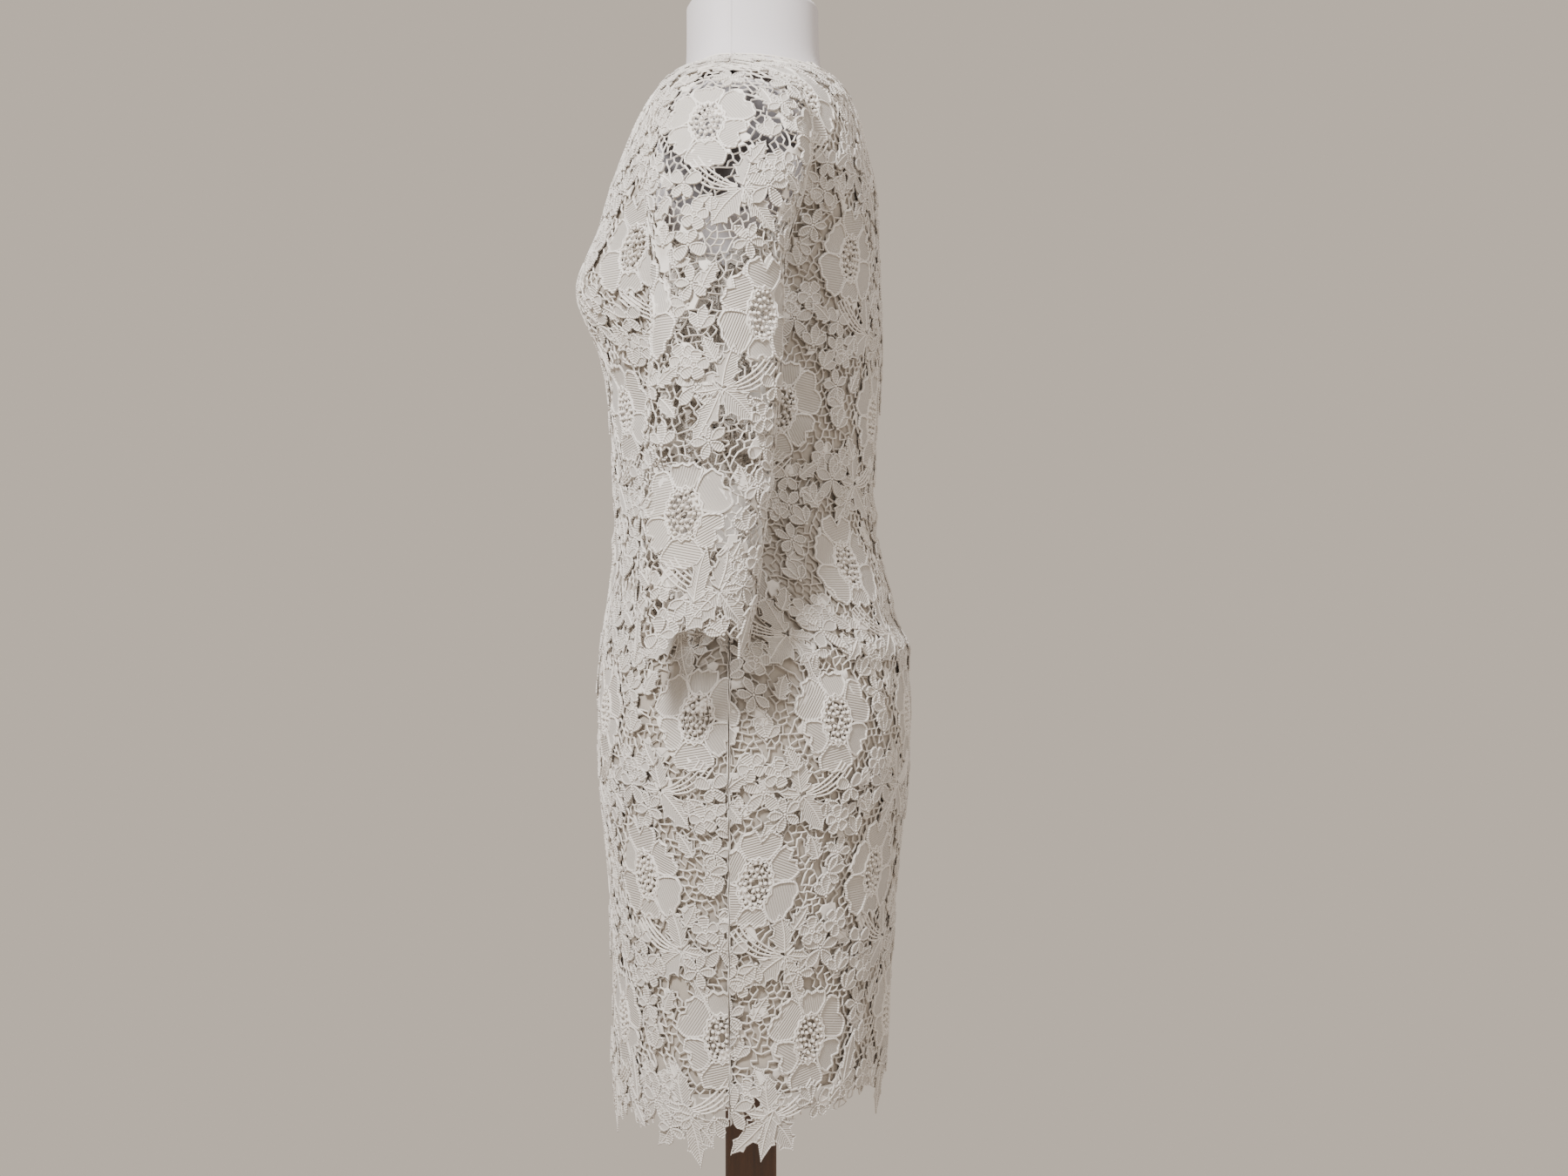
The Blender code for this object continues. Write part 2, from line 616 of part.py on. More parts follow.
def add_piece(name, bm, finish):
    """A named object in the dress's collection, smoothly shaded, with its own material."""
    mesh = bpy.data.meshes.new(name)
    bm.to_mesh(mesh)
    bm.free()
    mesh.shade_smooth()
    mesh.set_sharp_from_angle(angle=math.radians(40))
    mesh.materials.append(make_material(name + " finish", *FINISHES[finish]))
    piece = bpy.data.objects.new(name, mesh)
    PARTS.objects.link(piece)
    return piece


def clear_scene():
    """Removes whatever the scene holds."""
    for thing in list(bpy.data.objects):
        bpy.data.objects.remove(thing, do_unlink=True)


def new_collection(name):
    collection = bpy.data.collections.new(name)
    bpy.context.scene.collection.children.link(collection)
    return collection


clear_scene()
PARTS = new_collection(COLLECTION_NAME)
CUTTERS = new_collection("cutters")
for panel_side in ("front", "back"):
    body_panel(panel_side, "lace_" + panel_side, 0.0, LACE_THICK, "lace", True)
    body_panel(panel_side, "lining_" + panel_side, LINING_DEPTH, LINING_THICK, "lining", False)
for side_name, left_or_right in (("left", 1), ("right", -1)):
    sleeve_half(f"sleeve_{side_name}_front", 1, left_or_right)
    sleeve_half(f"sleeve_{side_name}_back", -1, left_or_right)
build_form()
build_post()
build_base()
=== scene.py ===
"""The looks of a lace dress that stands on a limbless dress form with a square wooden post.

Metres, +Z up. The wearer's front faces -Y and the wearer's left is +X. Lace is laid out flat, by
lengths round from a panel's middle and up from the hem, and then placed on the cloth's surface.
"""

import math

import bmesh
import bpy
import numpy as np
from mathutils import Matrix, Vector


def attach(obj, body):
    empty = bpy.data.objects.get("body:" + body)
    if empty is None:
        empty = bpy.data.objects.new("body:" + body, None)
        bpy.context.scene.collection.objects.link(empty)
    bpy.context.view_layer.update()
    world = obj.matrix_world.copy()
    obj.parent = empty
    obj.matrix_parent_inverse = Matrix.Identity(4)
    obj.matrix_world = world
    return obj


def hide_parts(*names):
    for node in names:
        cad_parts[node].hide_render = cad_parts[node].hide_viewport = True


bl_info = {
    "name": "Lace dress on a dress form",
    "version": (1, 0, 0),
    "blender": (4, 5, 0),
    "location": "3D View > Sidebar > Lace dress",
    "description": "Builds the lace, lining, dress form and stand of a knee length lace dress",
    "category": "Object",
}

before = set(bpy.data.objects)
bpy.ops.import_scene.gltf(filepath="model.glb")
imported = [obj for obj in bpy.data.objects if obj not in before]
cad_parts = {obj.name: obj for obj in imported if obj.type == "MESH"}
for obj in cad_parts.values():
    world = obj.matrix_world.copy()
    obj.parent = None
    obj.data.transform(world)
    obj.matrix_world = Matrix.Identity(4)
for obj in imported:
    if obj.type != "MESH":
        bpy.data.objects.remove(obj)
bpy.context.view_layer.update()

# Body outline to the lace's outer face: height, half width, reach to the front and to the back, and
# how square the front is
HEIGHT, HALF_WIDTH = 0, 1
BODY_SECTIONS = {
    "below hem": (0.430, 0.1640, 0.121, 0.117, 2.2),
    "hem": (0.485, 0.1650, 0.121, 0.118, 2.2),
    "knee": (0.560, 0.1670, 0.122, 0.123, 2.2),
    "low thigh": (0.630, 0.1710, 0.125, 0.128, 2.2),
    "thigh": (0.700, 0.1760, 0.129, 0.134, 2.2),
    "low hip": (0.765, 0.1810, 0.136, 0.141, 2.2),
    "hip": (0.825, 0.1820, 0.138, 0.144, 2.2),
    "high hip": (0.880, 0.1750, 0.136, 0.141, 2.2),
    "belly": (0.930, 0.1610, 0.130, 0.130, 2.2),
    "low waist": (0.975, 0.1470, 0.124, 0.118, 2.2),
    "waist": (1.020, 0.1390, 0.123, 0.111, 2.2),
    "ribs": (1.080, 0.1440, 0.126, 0.114, 2.2),
    "under bust": (1.135, 0.1510, 0.131, 0.117, 2.3),
    "bust": (1.195, 0.1575, 0.144, 0.118, 2.5),
    "underarm": (1.235, 0.1630, 0.142, 0.117, 2.4),
    "chest": (1.270, 0.1780, 0.134, 0.115, 2.3),
    "upper chest": (1.305, 0.1890, 0.124, 0.112, 2.2),
    "shoulder end": (1.338, 0.1910, 0.110, 0.105, 2.2),
    "shoulder": (1.362, 0.1800, 0.098, 0.099, 2.2),
    "mid shoulder": (1.380, 0.1550, 0.087, 0.092, 2.2),
    "near neck": (1.393, 0.1220, 0.078, 0.086, 2.2),
    "neck base": (1.404, 0.0930, 0.071, 0.079, 2.1),
    "neck": (1.420, 0.0730, 0.067, 0.071, 2.0),
    "low neck": (1.437, 0.0675, 0.066, 0.069, 2.0),
    "neck top": (1.480, 0.0665, 0.066, 0.068, 2.0),
}
BACK_SQUARE = 2.2
SEAM_Y = -0.015

# Cups and large soft folds that the solids have too: panel, across, height, rise, half width and
# half height
SWELLS = {
    "left cup": ("front", 0.082, 1.205, 0.0150, 0.048, 0.040),
    "right cup": ("front", -0.082, 1.205, 0.0150, 0.048, 0.040),
    "left fold under cup": ("front", 0.098, 1.140, 0.0045, 0.030, 0.012),
    "right fold under cup": ("front", -0.090, 1.132, 0.0035, 0.034, 0.012),
    "seat fold": ("back", 0.050, 0.893, 0.0045, 0.060, 0.012),
    "seat hollow": ("back", 0.045, 0.918, -0.0030, 0.060, 0.012),
}

# Creases: degrees round from the front middle to the wearer's left, height, rise, half width round,
# half height, and slope as climb for each metre round
CREASES = {
    "hollow under left cuff": (86, 0.885, -0.0030, 0.018, 0.022, 0.4),
    "ridge behind left cuff": (112, 0.889, 0.0030, 0.050, 0.007, 0.12),
    "trough behind left cuff": (120, 0.872, -0.0022, 0.055, 0.008, 0.12),
    "left waist drag": (74, 1.050, 0.0025, 0.040, 0.008, -0.7),
    "left waist drag low": (104, 1.005, 0.0022, 0.034, 0.007, 0.8),
    "left hem notch": (90, 0.515, -0.0070, 0.012, 0.060, 0.0),
    "left hem flute front": (76, 0.520, 0.0045, 0.017, 0.075, 0.0),
    "left hem flute back": (104, 0.530, 0.0050, 0.018, 0.085, 0.0),
    "left hip flute": (96, 0.640, 0.0022, 0.010, 0.090, 0.0),
    "right hem notch": (-92, 0.520, -0.0050, 0.014, 0.055, 0.0),
    "right hem flute": (-106, 0.530, 0.0048, 0.020, 0.080, 0.0),
    "right hip drag": (-84, 0.900, 0.0026, 0.040, 0.008, -0.3),
    "right waist drag": (-100, 1.030, 0.0024, 0.036, 0.008, 0.7),
    "front hem flute": (22, 0.525, 0.0035, 0.020, 0.080, 0.0),
    "front hem hollow": (-14, 0.520, -0.0035, 0.022, 0.080, 0.0),
    "back hem flute": (160, 0.525, 0.0040, 0.022, 0.090, 0.0),
    "back hem hollow": (-168, 0.525, -0.0035, 0.024, 0.080, 0.0),
    "back waist ridge": (172, 1.010, 0.0026, 0.060, 0.008, 0.0),
    "back waist trough": (186, 0.992, -0.0020, 0.052, 0.007, 0.0),
    "belly fold": (10, 0.985, 0.0022, 0.060, 0.008, 0.15),
}
CREASE_RADIUS = 0.14  # turns an angle round the body into metres
CREASE_FADE = 0.03  # creases die out this far below the armholes
PUCKER_RISE = 0.0010  # small waves beside the side seams
PUCKER_TALL = 0.034
PUCKER_WIDE = 0.010

# Panel cut
HEM_HEIGHT = 0.497
HEM_LIFT = 0.004  # the net ends this far above the solids' hem and cuffs
HEM_DROP = 0.024
HEM_FOLLOW = 0.6  # how much of the drop the net follows
HEM_POINTS = 7
HEM_LEAF_RISE = 0.024  # the hem's leaves start this far above the net's edge
BACK_HEM_RISE = 0.018
BACK_HEM_EASE = 0.45
SEAM_OVER = 0.0004  # lace past a side seam and past an armhole
ARMHOLE_OVER = 0.0022
NECK_HEIGHT = 1.411
NECK_HALF_WIDE = 0.080
FRONT_NECK_HEIGHT = 1.352
BACK_NECK_HEIGHT = 1.405
ARMHOLE_X = 0.1600
ARMHOLE_Y = -0.022
ARMHOLE_TURN = 0.08
ARMHOLE_ABOVE = 1.20
ARMHOLE_BELOW = 1.40
ARMHOLE_TOP = 1.355
ARMHOLE_GAP = 0.0012

# Lining and form: heights, and depths under the lace's outer face
LINING_HEM_HEIGHT = 0.527
LINING_NECK_DROP = 0.004
LINING_CROWD_HEIGHT = 1.262  # above this height lie the last rows, from this share on
LINING_CROWD_SHARE = 0.78
LINING_DEPTH = 0.0030
LINING_THICK = 0.0006
LINING_ARMHOLE_EASE = 0.70
SHOULDER_HEIGHT = 1.370
SHOULDER_SPREAD = 0.024
LINING_SHOULDER_SINK = 0.0010
FORM_SHOULDER_SINK = 0.0036
FORM_DEPTH = 0.0067
FORM_SWELL = 0.6
FORM_BOTTOM = 0.700
FORM_TOP_ROUND = 0.009
NECK_SEAM_LOW = 1.395
NECK_SEAM_AHEAD = 3.5  # degrees in front of the side
NECK_SEAM_WIDE = 0.0060
NECK_SEAM_RISE = 0.0007
NECK_SEAM_SINK = 0.0001
NECK_RADIUS = 0.067
ARM_PLATE_OUT = 0.003
ARM_PLATE_LOW = ARMHOLE_ABOVE - 0.03
# The arm plates are painted near black, as painted shade for the dark inside of the hollow sleeves seen through their
# gaps
ARM_PLATE_SHADE_COLOUR = (0.12, 0.11, 0.115, 1.0)

# Sleeve: height, its middle across and ahead, half thickness and half width
ACROSS, FORE = 1, 2
SLEEVE_SECTIONS = {
    "biceps": (1.204, 0.2065, -0.0225, 0.0385, 0.0530),
    "upper arm": (1.120, 0.2075, -0.0265, 0.0385, 0.0525),
    "elbow": (1.020, 0.2095, -0.0330, 0.0375, 0.0505),
    "forearm": (0.950, 0.2120, -0.0385, 0.0360, 0.0470),
    "cuff": (0.895, 0.2145, -0.0430, 0.0350, 0.0440),
}
CUFF_HEIGHT = 0.909
CUFF_DROP = 0.014
CUFF_FOLLOW = 0.8
CUFF_POINTS = 2.5
CUFF_LEAF_RISE = 0.020
UNDERARM_ROUND = 0.010
CAP_SLOPE = 2.0
CAP_FLAT = 0.150
SLEEVE_CREASE_FADE = 0.05
CAP_EASE_FROM = math.radians(40)  # from this angle under the arm on, the cap's cloth is eased in
CAP_EASE_OVER = math.radians(40)

# Lace
REPEAT_WIDE = 0.122
REPEAT_TALL = 0.1325
SLEEVE_REPEAT_TALL = 0.158
SLEEVE_REPEAT_WIDE = 0.110
LACE_SINK = 0.0010  # flat lace's zero lies this far under the outer face
SEAM_CORD = 0.0019
NECK_CORD = 0.0022
NECK_CORD_DROP = 0.0005
CORD_HEIGHT = 0.0010
CORD_BASE = 0.0005
CORD_STEP = 0.004
PANEL_CORD_LOW = 0.02  # where the seams' cords start, in cloth length
SLEEVE_CORD_LOW = -0.29
SHARP_ANGLE = math.radians(55)
# The second mark is each point's height share. The lace's colour follows it, as painted highlight on the high parts
# and painted shade on the low parts
MARKS = ("rib", "painted_light")
GRID = 0.004  # step of the tables that place flat cloth on its surface
HALF_TURNS = 90  # columns of those tables on each side of a panel's middle
PANEL_EXTENT = (-0.31, 0.31, -0.03)  # right, left and lower limit of the lace that is laid out
PANEL_TABLE_REACH = 0.34
SLEEVE_EXTENT = (-0.155, 0.155, -0.32)
SLEEVE_TABLE_REACH = 0.16
EXTENT_OVER = 0.004
ARM_RADIUS = 0.046  # for the first guess of a place's angle, and then for each step towards it
STEP_RADIUS = 0.05
STEPS = 60
SMALL = 1e-9


class Curve:
    """Rows of a section table joined by smooth curves, read at any stations."""

    def __init__(self, stations, rows):
        self.stations = stations
        self.rows = rows
        inner = (rows[2:] - rows[:-2]) / (stations[2:] - stations[:-2])[:, None]
        first = (rows[1] - rows[0]) / (stations[1] - stations[0])
        last = (rows[-1] - rows[-2]) / (stations[-1] - stations[-2])
        self.slopes = np.vstack([first, inner, last])

    def read(self, at):
        at = np.asarray(at, float)
        i = np.clip(np.searchsorted(self.stations, at) - 1, 0, len(self.stations) - 2)
        step = self.stations[i + 1] - self.stations[i]
        t = ((at - self.stations[i]) / step)[..., None]
        start = self.rows[i] * (2 * t**3 - 3 * t**2 + 1)
        end = self.rows[i + 1] * (3 * t**2 - 2 * t**3)
        bend = self.slopes[i] * (t**3 - 2 * t**2 + t) + self.slopes[i + 1] * (t**3 - t**2)
        return start + end + bend * step[..., None]


BODY_ROWS = np.array(list(BODY_SECTIONS.values()))
BODY_STEPS = np.hypot(np.diff(BODY_ROWS[:, HEIGHT]), np.diff(BODY_ROWS[:, HALF_WIDTH]))
BODY = Curve(np.concatenate([[0.0], np.cumsum(BODY_STEPS)]) - BODY_STEPS[0], BODY_ROWS)
SLEEVE_ROWS = np.array(list(SLEEVE_SECTIONS.values()))
SLEEVE = Curve(SLEEVE_ROWS[0, HEIGHT] - SLEEVE_ROWS[:, HEIGHT], SLEEVE_ROWS)
FINE_STATIONS = np.linspace(BODY.stations[0], BODY.stations[-1], 800)
FINE_HEIGHTS = BODY.read(FINE_STATIONS)[:, HEIGHT]


def station_at(height):
    """The station of a level of the body."""
    return np.interp(height, FINE_HEIGHTS, FINE_STATIONS)


def body_ring(side, station, angle, swell=1.0, creased=True):
    """Points of the lace's outer face; station and angle are arrays of one shape."""
    height, half_width, front, back, front_square = np.moveaxis(BODY.read(station), -1, 0)
    forward = -1.0 if side == "front" else 1.0
    depth = front + SEAM_Y if side == "front" else back - SEAM_Y
    power = 2 / (front_square if side == "front" else BACK_SQUARE)
    away = np.cos(angle)
    x = half_width * np.sign(angle) * np.abs(np.sin(angle)) ** power
    out = depth * np.sign(away) * np.abs(away) ** power
    for where, across, level, rise, wide, tall in SWELLS.values():
        if where == side:
            out = out + swell * rise * np.exp(-(((x - across) / wide) ** 2) - ((height - level) / tall) ** 2)
    y = forward * out
    if creased:
        turned = np.degrees(np.arctan2(x, -y))
        rise = np.zeros_like(x)
        for degrees, level, lift, wide, tall, slope in CREASES.values():
            around = np.radians((turned - degrees + 180) % 360 - 180) * CREASE_RADIUS
            up = height - level - slope * around
            rise += lift * np.exp(-((around / wide) ** 2) - (up / tall) ** 2)
        from_seam = np.radians(90 - np.abs(turned)) * CREASE_RADIUS
        rise += PUCKER_RISE * np.sin(height / PUCKER_TALL * 2 * math.pi) * np.exp(-((from_seam / PUCKER_WIDE) ** 2))
        rise *= np.clip((ARMHOLE_ABOVE - height) / CREASE_FADE, 0, 1)
        length = np.hypot(x, y) + SMALL
        x, y = x + rise * x / length, y + rise * y / length
    return np.stack([x, y + SEAM_Y, height], axis=-1)


def square_to(point_at, first, second, first_step, second_step, middle):
    """Unit directions square to a surface, away from the given middle."""
    across = point_at(first + first_step, second) - point_at(first - first_step, second)
    up = point_at(first, second + second_step) - point_at(first, second - second_step)
    out = np.cross(across, up)
    out /= np.linalg.norm(out, axis=-1, keepdims=True) + SMALL
    away = ((point_at(first, second) - middle) * out).sum(axis=-1, keepdims=True)
    return np.where(away < 0, -out, out)


def shoulder_sink(station, most):
    """How much deeper a layer lies round the shoulders."""
    return most * np.exp(-(((BODY.read(station)[..., HEIGHT] - SHOULDER_HEIGHT) / SHOULDER_SPREAD) ** 2))


def body_point(side, station, angle, depth, swell=1.0, creased=True):
    """Points sunk under the lace's outer face, square to it."""
    station, angle = np.broadcast_arrays(np.asarray(station, float), np.asarray(angle, float))

    def point_at(turn, climb):
        return body_ring(side, climb, turn, swell, creased)

    here = point_at(angle, station)
    middle = np.stack([np.zeros_like(angle), np.full_like(angle, SEAM_Y), here[..., 2]], axis=-1)
    out = square_to(point_at, angle, station, 0.02, 0.002, middle)
    return here - out * np.asarray(depth)[..., None]


def past_armhole(points):
    """How far points of the left half lie outside the armhole plane."""
    return points[..., 0] - ARMHOLE_X - ARMHOLE_TURN * (points[..., 1] - ARMHOLE_Y)


def seam_angle(side, station):
    """The angle at which a panel ends: at the armhole's plane, or else at the seam."""
    angles = np.linspace(0.0, math.pi / 2, 160)
    ring = body_ring(side, np.full_like(angles, station), angles, creased=False)
    past = past_armhole(ring)
    if ring[0, 2] < ARMHOLE_ABOVE or past.max() <= 0:
        return math.pi / 2
    i = int(np.argmax(past > 0))
    return float(angles[i - 1] + (angles[i] - angles[i - 1]) * past[i - 1] / (past[i - 1] - past[i]))


def neck_height(side, share):
    """The height at which a column meets the round neckline, lower at the front."""
    drop = NECK_HEIGHT - (FRONT_NECK_HEIGHT if side == "front" else BACK_NECK_HEIGHT)
    low, high = NECK_HEIGHT - drop, NECK_HEIGHT
    for _ in range(24):
        middle = (low + high) / 2
        across = BODY.read(station_at(middle))[HALF_WIDTH] * abs(math.sin(share * math.pi / 2))
        line = NECK_HEIGHT - drop * math.sqrt(max(0.0, 1 - (across / NECK_HALF_WIDE) ** 2))
        low, high = (middle, high) if middle < line else (low, middle)
    return (low + high) / 2


def wave(share):
    """A zigzag from 0 to 1 and back for each unit of share."""
    return 1 - np.abs(share % 1.0 - 0.5) * 2


def read_table(table, row, column):
    """Values of a table between its rows and columns."""
    row = np.clip(row, 0, table.shape[0] - 1.001)
    column = np.clip(column, 0, table.shape[1] - 1.001)
    i, j = row.astype(int), column.astype(int)
    s, t = row - i, column - j
    low = table[i, j] * (1 - t) + table[i, j + 1] * t
    high = table[i + 1, j] * (1 - t) + table[i + 1, j + 1] * t
    return low * (1 - s) + high * s


def along(points, start):
    """Running length of lines of points, from zero at the start index."""
    steps = np.linalg.norm(np.diff(points, axis=0), axis=-1)
    run = np.concatenate([np.zeros((1, *steps.shape[1:])), np.cumsum(steps, axis=0)])
    return run - run[start]


class BodyCloth:
    """One body panel: flat lengths round from its middle and up from the hem, set on its surface."""

    def __init__(self, side):
        self.side, self.flips = side, side == "back"
        self.ups = np.arange(BODY.stations[0] + 0.004, BODY.stations[-1] - 0.010, GRID)
        angles = np.linspace(-math.pi / 2, math.pi / 2, 2 * HALF_TURNS + 1)
        turns, climbs = np.meshgrid(angles, self.ups)
        lengths = along(np.moveaxis(body_ring(side, climbs, turns), 1, 0), HALF_TURNS).T
        self.rounds = np.arange(-PANEL_TABLE_REACH, PANEL_TABLE_REACH, GRID)
        self.angles = np.stack([np.interp(self.rounds, row, angles) for row in lengths])
        ends = [seam_angle(side, up) for up in self.ups]
        near_top = self.ups > station_at(ARMHOLE_TOP)
        reaches = []
        for way in (1, -1):
            reach = np.array([way * np.interp(way * end, angles, row) for end, row in zip(ends, lengths)])
            reaches.append(np.where(near_top, np.maximum(reach, np.roll(reach, -1)), reach))
        self.left, self.right = reaches
        shares = np.linspace(-1, 1, 81)
        self.neck_ups = station_at(np.array([neck_height(side, share) for share in shares]))
        rows = [self.length_row(lengths, up) for up in self.neck_ups]
        self.neck_rounds = np.array([np.interp(share * math.pi / 2, angles, row) for share, row in zip(shares, rows)])
        self.extent = (*PANEL_EXTENT, float(self.neck_ups.max()) + EXTENT_OVER)

    def length_row(self, lengths, up):
        row = (up - self.ups[0]) / GRID
        i = int(np.clip(row, 0, len(self.ups) - 2))
        return lengths[i] * (1 - (row - i)) + lengths[i + 1] * (row - i)

    def ends(self, up):
        """How far the panel reaches towards the wearer's right and left."""
        over = np.where(up > station_at(ARMHOLE_ABOVE), ARMHOLE_OVER, SEAM_OVER)
        return -np.interp(up, self.ups, self.right) - over, np.interp(up, self.ups, self.left) + over

    def bottom(self, around):
        """The hem's height in cloth length."""
        width = self.ends(np.zeros(1))[1][0]
        drop = HEM_DROP * wave(around / width * HEM_POINTS / 2 + 0.5)
        rise = 0.0
        if self.side == "back":
            rise = BACK_HEM_RISE * np.clip((1 - np.abs(around) / width) / BACK_HEM_EASE, 0, 1)
        return station_at(HEM_HEIGHT + HEM_LIFT) - drop * HEM_FOLLOW + rise

    def top(self, around):
        return np.interp(around, self.neck_rounds, self.neck_ups)

    def place(self, around, up, lift):
        row = (up - self.ups[0]) / GRID
        angle = read_table(self.angles, row, (around - self.rounds[0]) / GRID)
        return body_point(self.side, up, angle, -lift)


def armhole_loop():
    """The armhole's middle, and its outline as distances by angle round it from the top, forwards first."""
    crossings = []
    for station in np.linspace(station_at(ARMHOLE_ABOVE), station_at(ARMHOLE_BELOW), 160):
        for side in ("front", "back"):
            angle = seam_angle(side, station)
            if angle < math.pi / 2:
                crossings.append(body_ring(side, np.array([station]), np.array([angle]), creased=False)[0])
    loop = np.array(crossings)
    centre = (loop.min(axis=0) + loop.max(axis=0)) / 2
    centre[0] = ARMHOLE_X + ARMHOLE_TURN * (centre[1] - ARMHOLE_Y)
    local = loop - centre
    angles = np.arctan2(-local[:, 1], local[:, 2])
    order = np.argsort(angles)
    return centre, angles[order], np.hypot(local[:, 1], local[:, 2])[order]


ARM_CENTRE, ARM_ANGLES, ARM_REACHES = armhole_loop()
ARM_LOW = float(np.interp(math.pi, ARM_ANGLES, ARM_REACHES, period=2 * math.pi))

# Sleeve creases: degrees round from the outer line, forwards first, length up from the biceps line,
# rise, half width in degrees, half height, and slope
SLEEVE_CREASES = {
    "elbow front": (40, -0.165, -0.0022, 50, 0.007, 0.0005),
    "elbow ridge": (55, -0.150, 0.0020, 45, 0.007, 0.0005),
    "elbow back": (-70, -0.180, 0.0022, 45, 0.008, -0.0004),
    "upper front": (70, -0.060, -0.0022, 30, 0.010, 0.0012),
    "upper back": (-60, -0.030, -0.0026, 26, 0.012, -0.0014),
    "long back": (-75, -0.110, 0.0024, 14, 0.090, 0.0),
    "long front": (88, -0.120, -0.0024, 13, 0.080, 0.0),
    "outer": (8, -0.220, -0.0016, 16, 0.050, 0.0),
    "cuff back": (-50, -0.275, 0.0030, 20, 0.028, 0.0),
    "cuff inside": (150, -0.270, 0.0028, 24, 0.030, 0.0),
}


def sleeve_ring(angle, up):
    """Points of the left sleeve's outer face: up is above the biceps line, below it negative."""
    height, across, fore, thick, wide = np.moveaxis(SLEEVE.read(np.maximum(-up, 0)), -1, 0)
    tube = np.stack([across + thick * np.cos(angle), fore - wide * np.sin(angle), height], axis=-1)
    top, across, fore, thick, wide = SLEEVE_ROWS[0]
    share = 1 - np.maximum(up, 0) / CAP_FLAT
    ease = share * share * (3 - 2 * share)
    half = thick + (ARM_LOW - thick) * (1 - share) ** CAP_SLOPE
    turn = share * math.pi / 2
    direction = np.stack([np.sin(turn), np.zeros_like(turn), np.cos(turn)], axis=-1)
    underarm = ARM_CENTRE + np.array([ARMHOLE_GAP, 0.0, -ARM_LOW - UNDERARM_ROUND])
    middle = underarm + direction * (UNDERARM_ROUND + half)[..., None]
    end = np.array([across, fore, top])
    middle = middle + (end - underarm - np.array([UNDERARM_ROUND + thick, 0.0, 0.0])) * ease[..., None]
    reach = np.interp(angle, ARM_ANGLES, ARM_REACHES, period=2 * math.pi)
    lift = (1 - ease) * reach * np.cos(angle) * half / ARM_LOW + ease * half * np.cos(angle)
    forward = (1 - ease) * reach * np.sin(angle) + ease * wide * np.sin(angle)
    cap = middle + direction * lift[..., None]
    cap[..., 1] -= forward
    cap[..., 0] -= ARMHOLE_TURN * forward * (1 - ease)
    points = np.where((up <= 0)[..., None], tube, cap)
    rise = np.zeros_like(up)
    for degrees, level, depth, wide, tall, slope in SLEEVE_CREASES.values():
        around = (np.degrees(angle) - degrees + 180) % 360 - 180
        rise += depth * np.exp(-((around / wide) ** 2) - ((up - level - slope * around) / tall) ** 2)
    out = np.stack([np.cos(angle), -np.sin(angle), np.zeros_like(angle)], axis=-1)
    return points + out * (rise * np.clip(0.2 - up / SLEEVE_CREASE_FADE, 0, 1))[..., None]


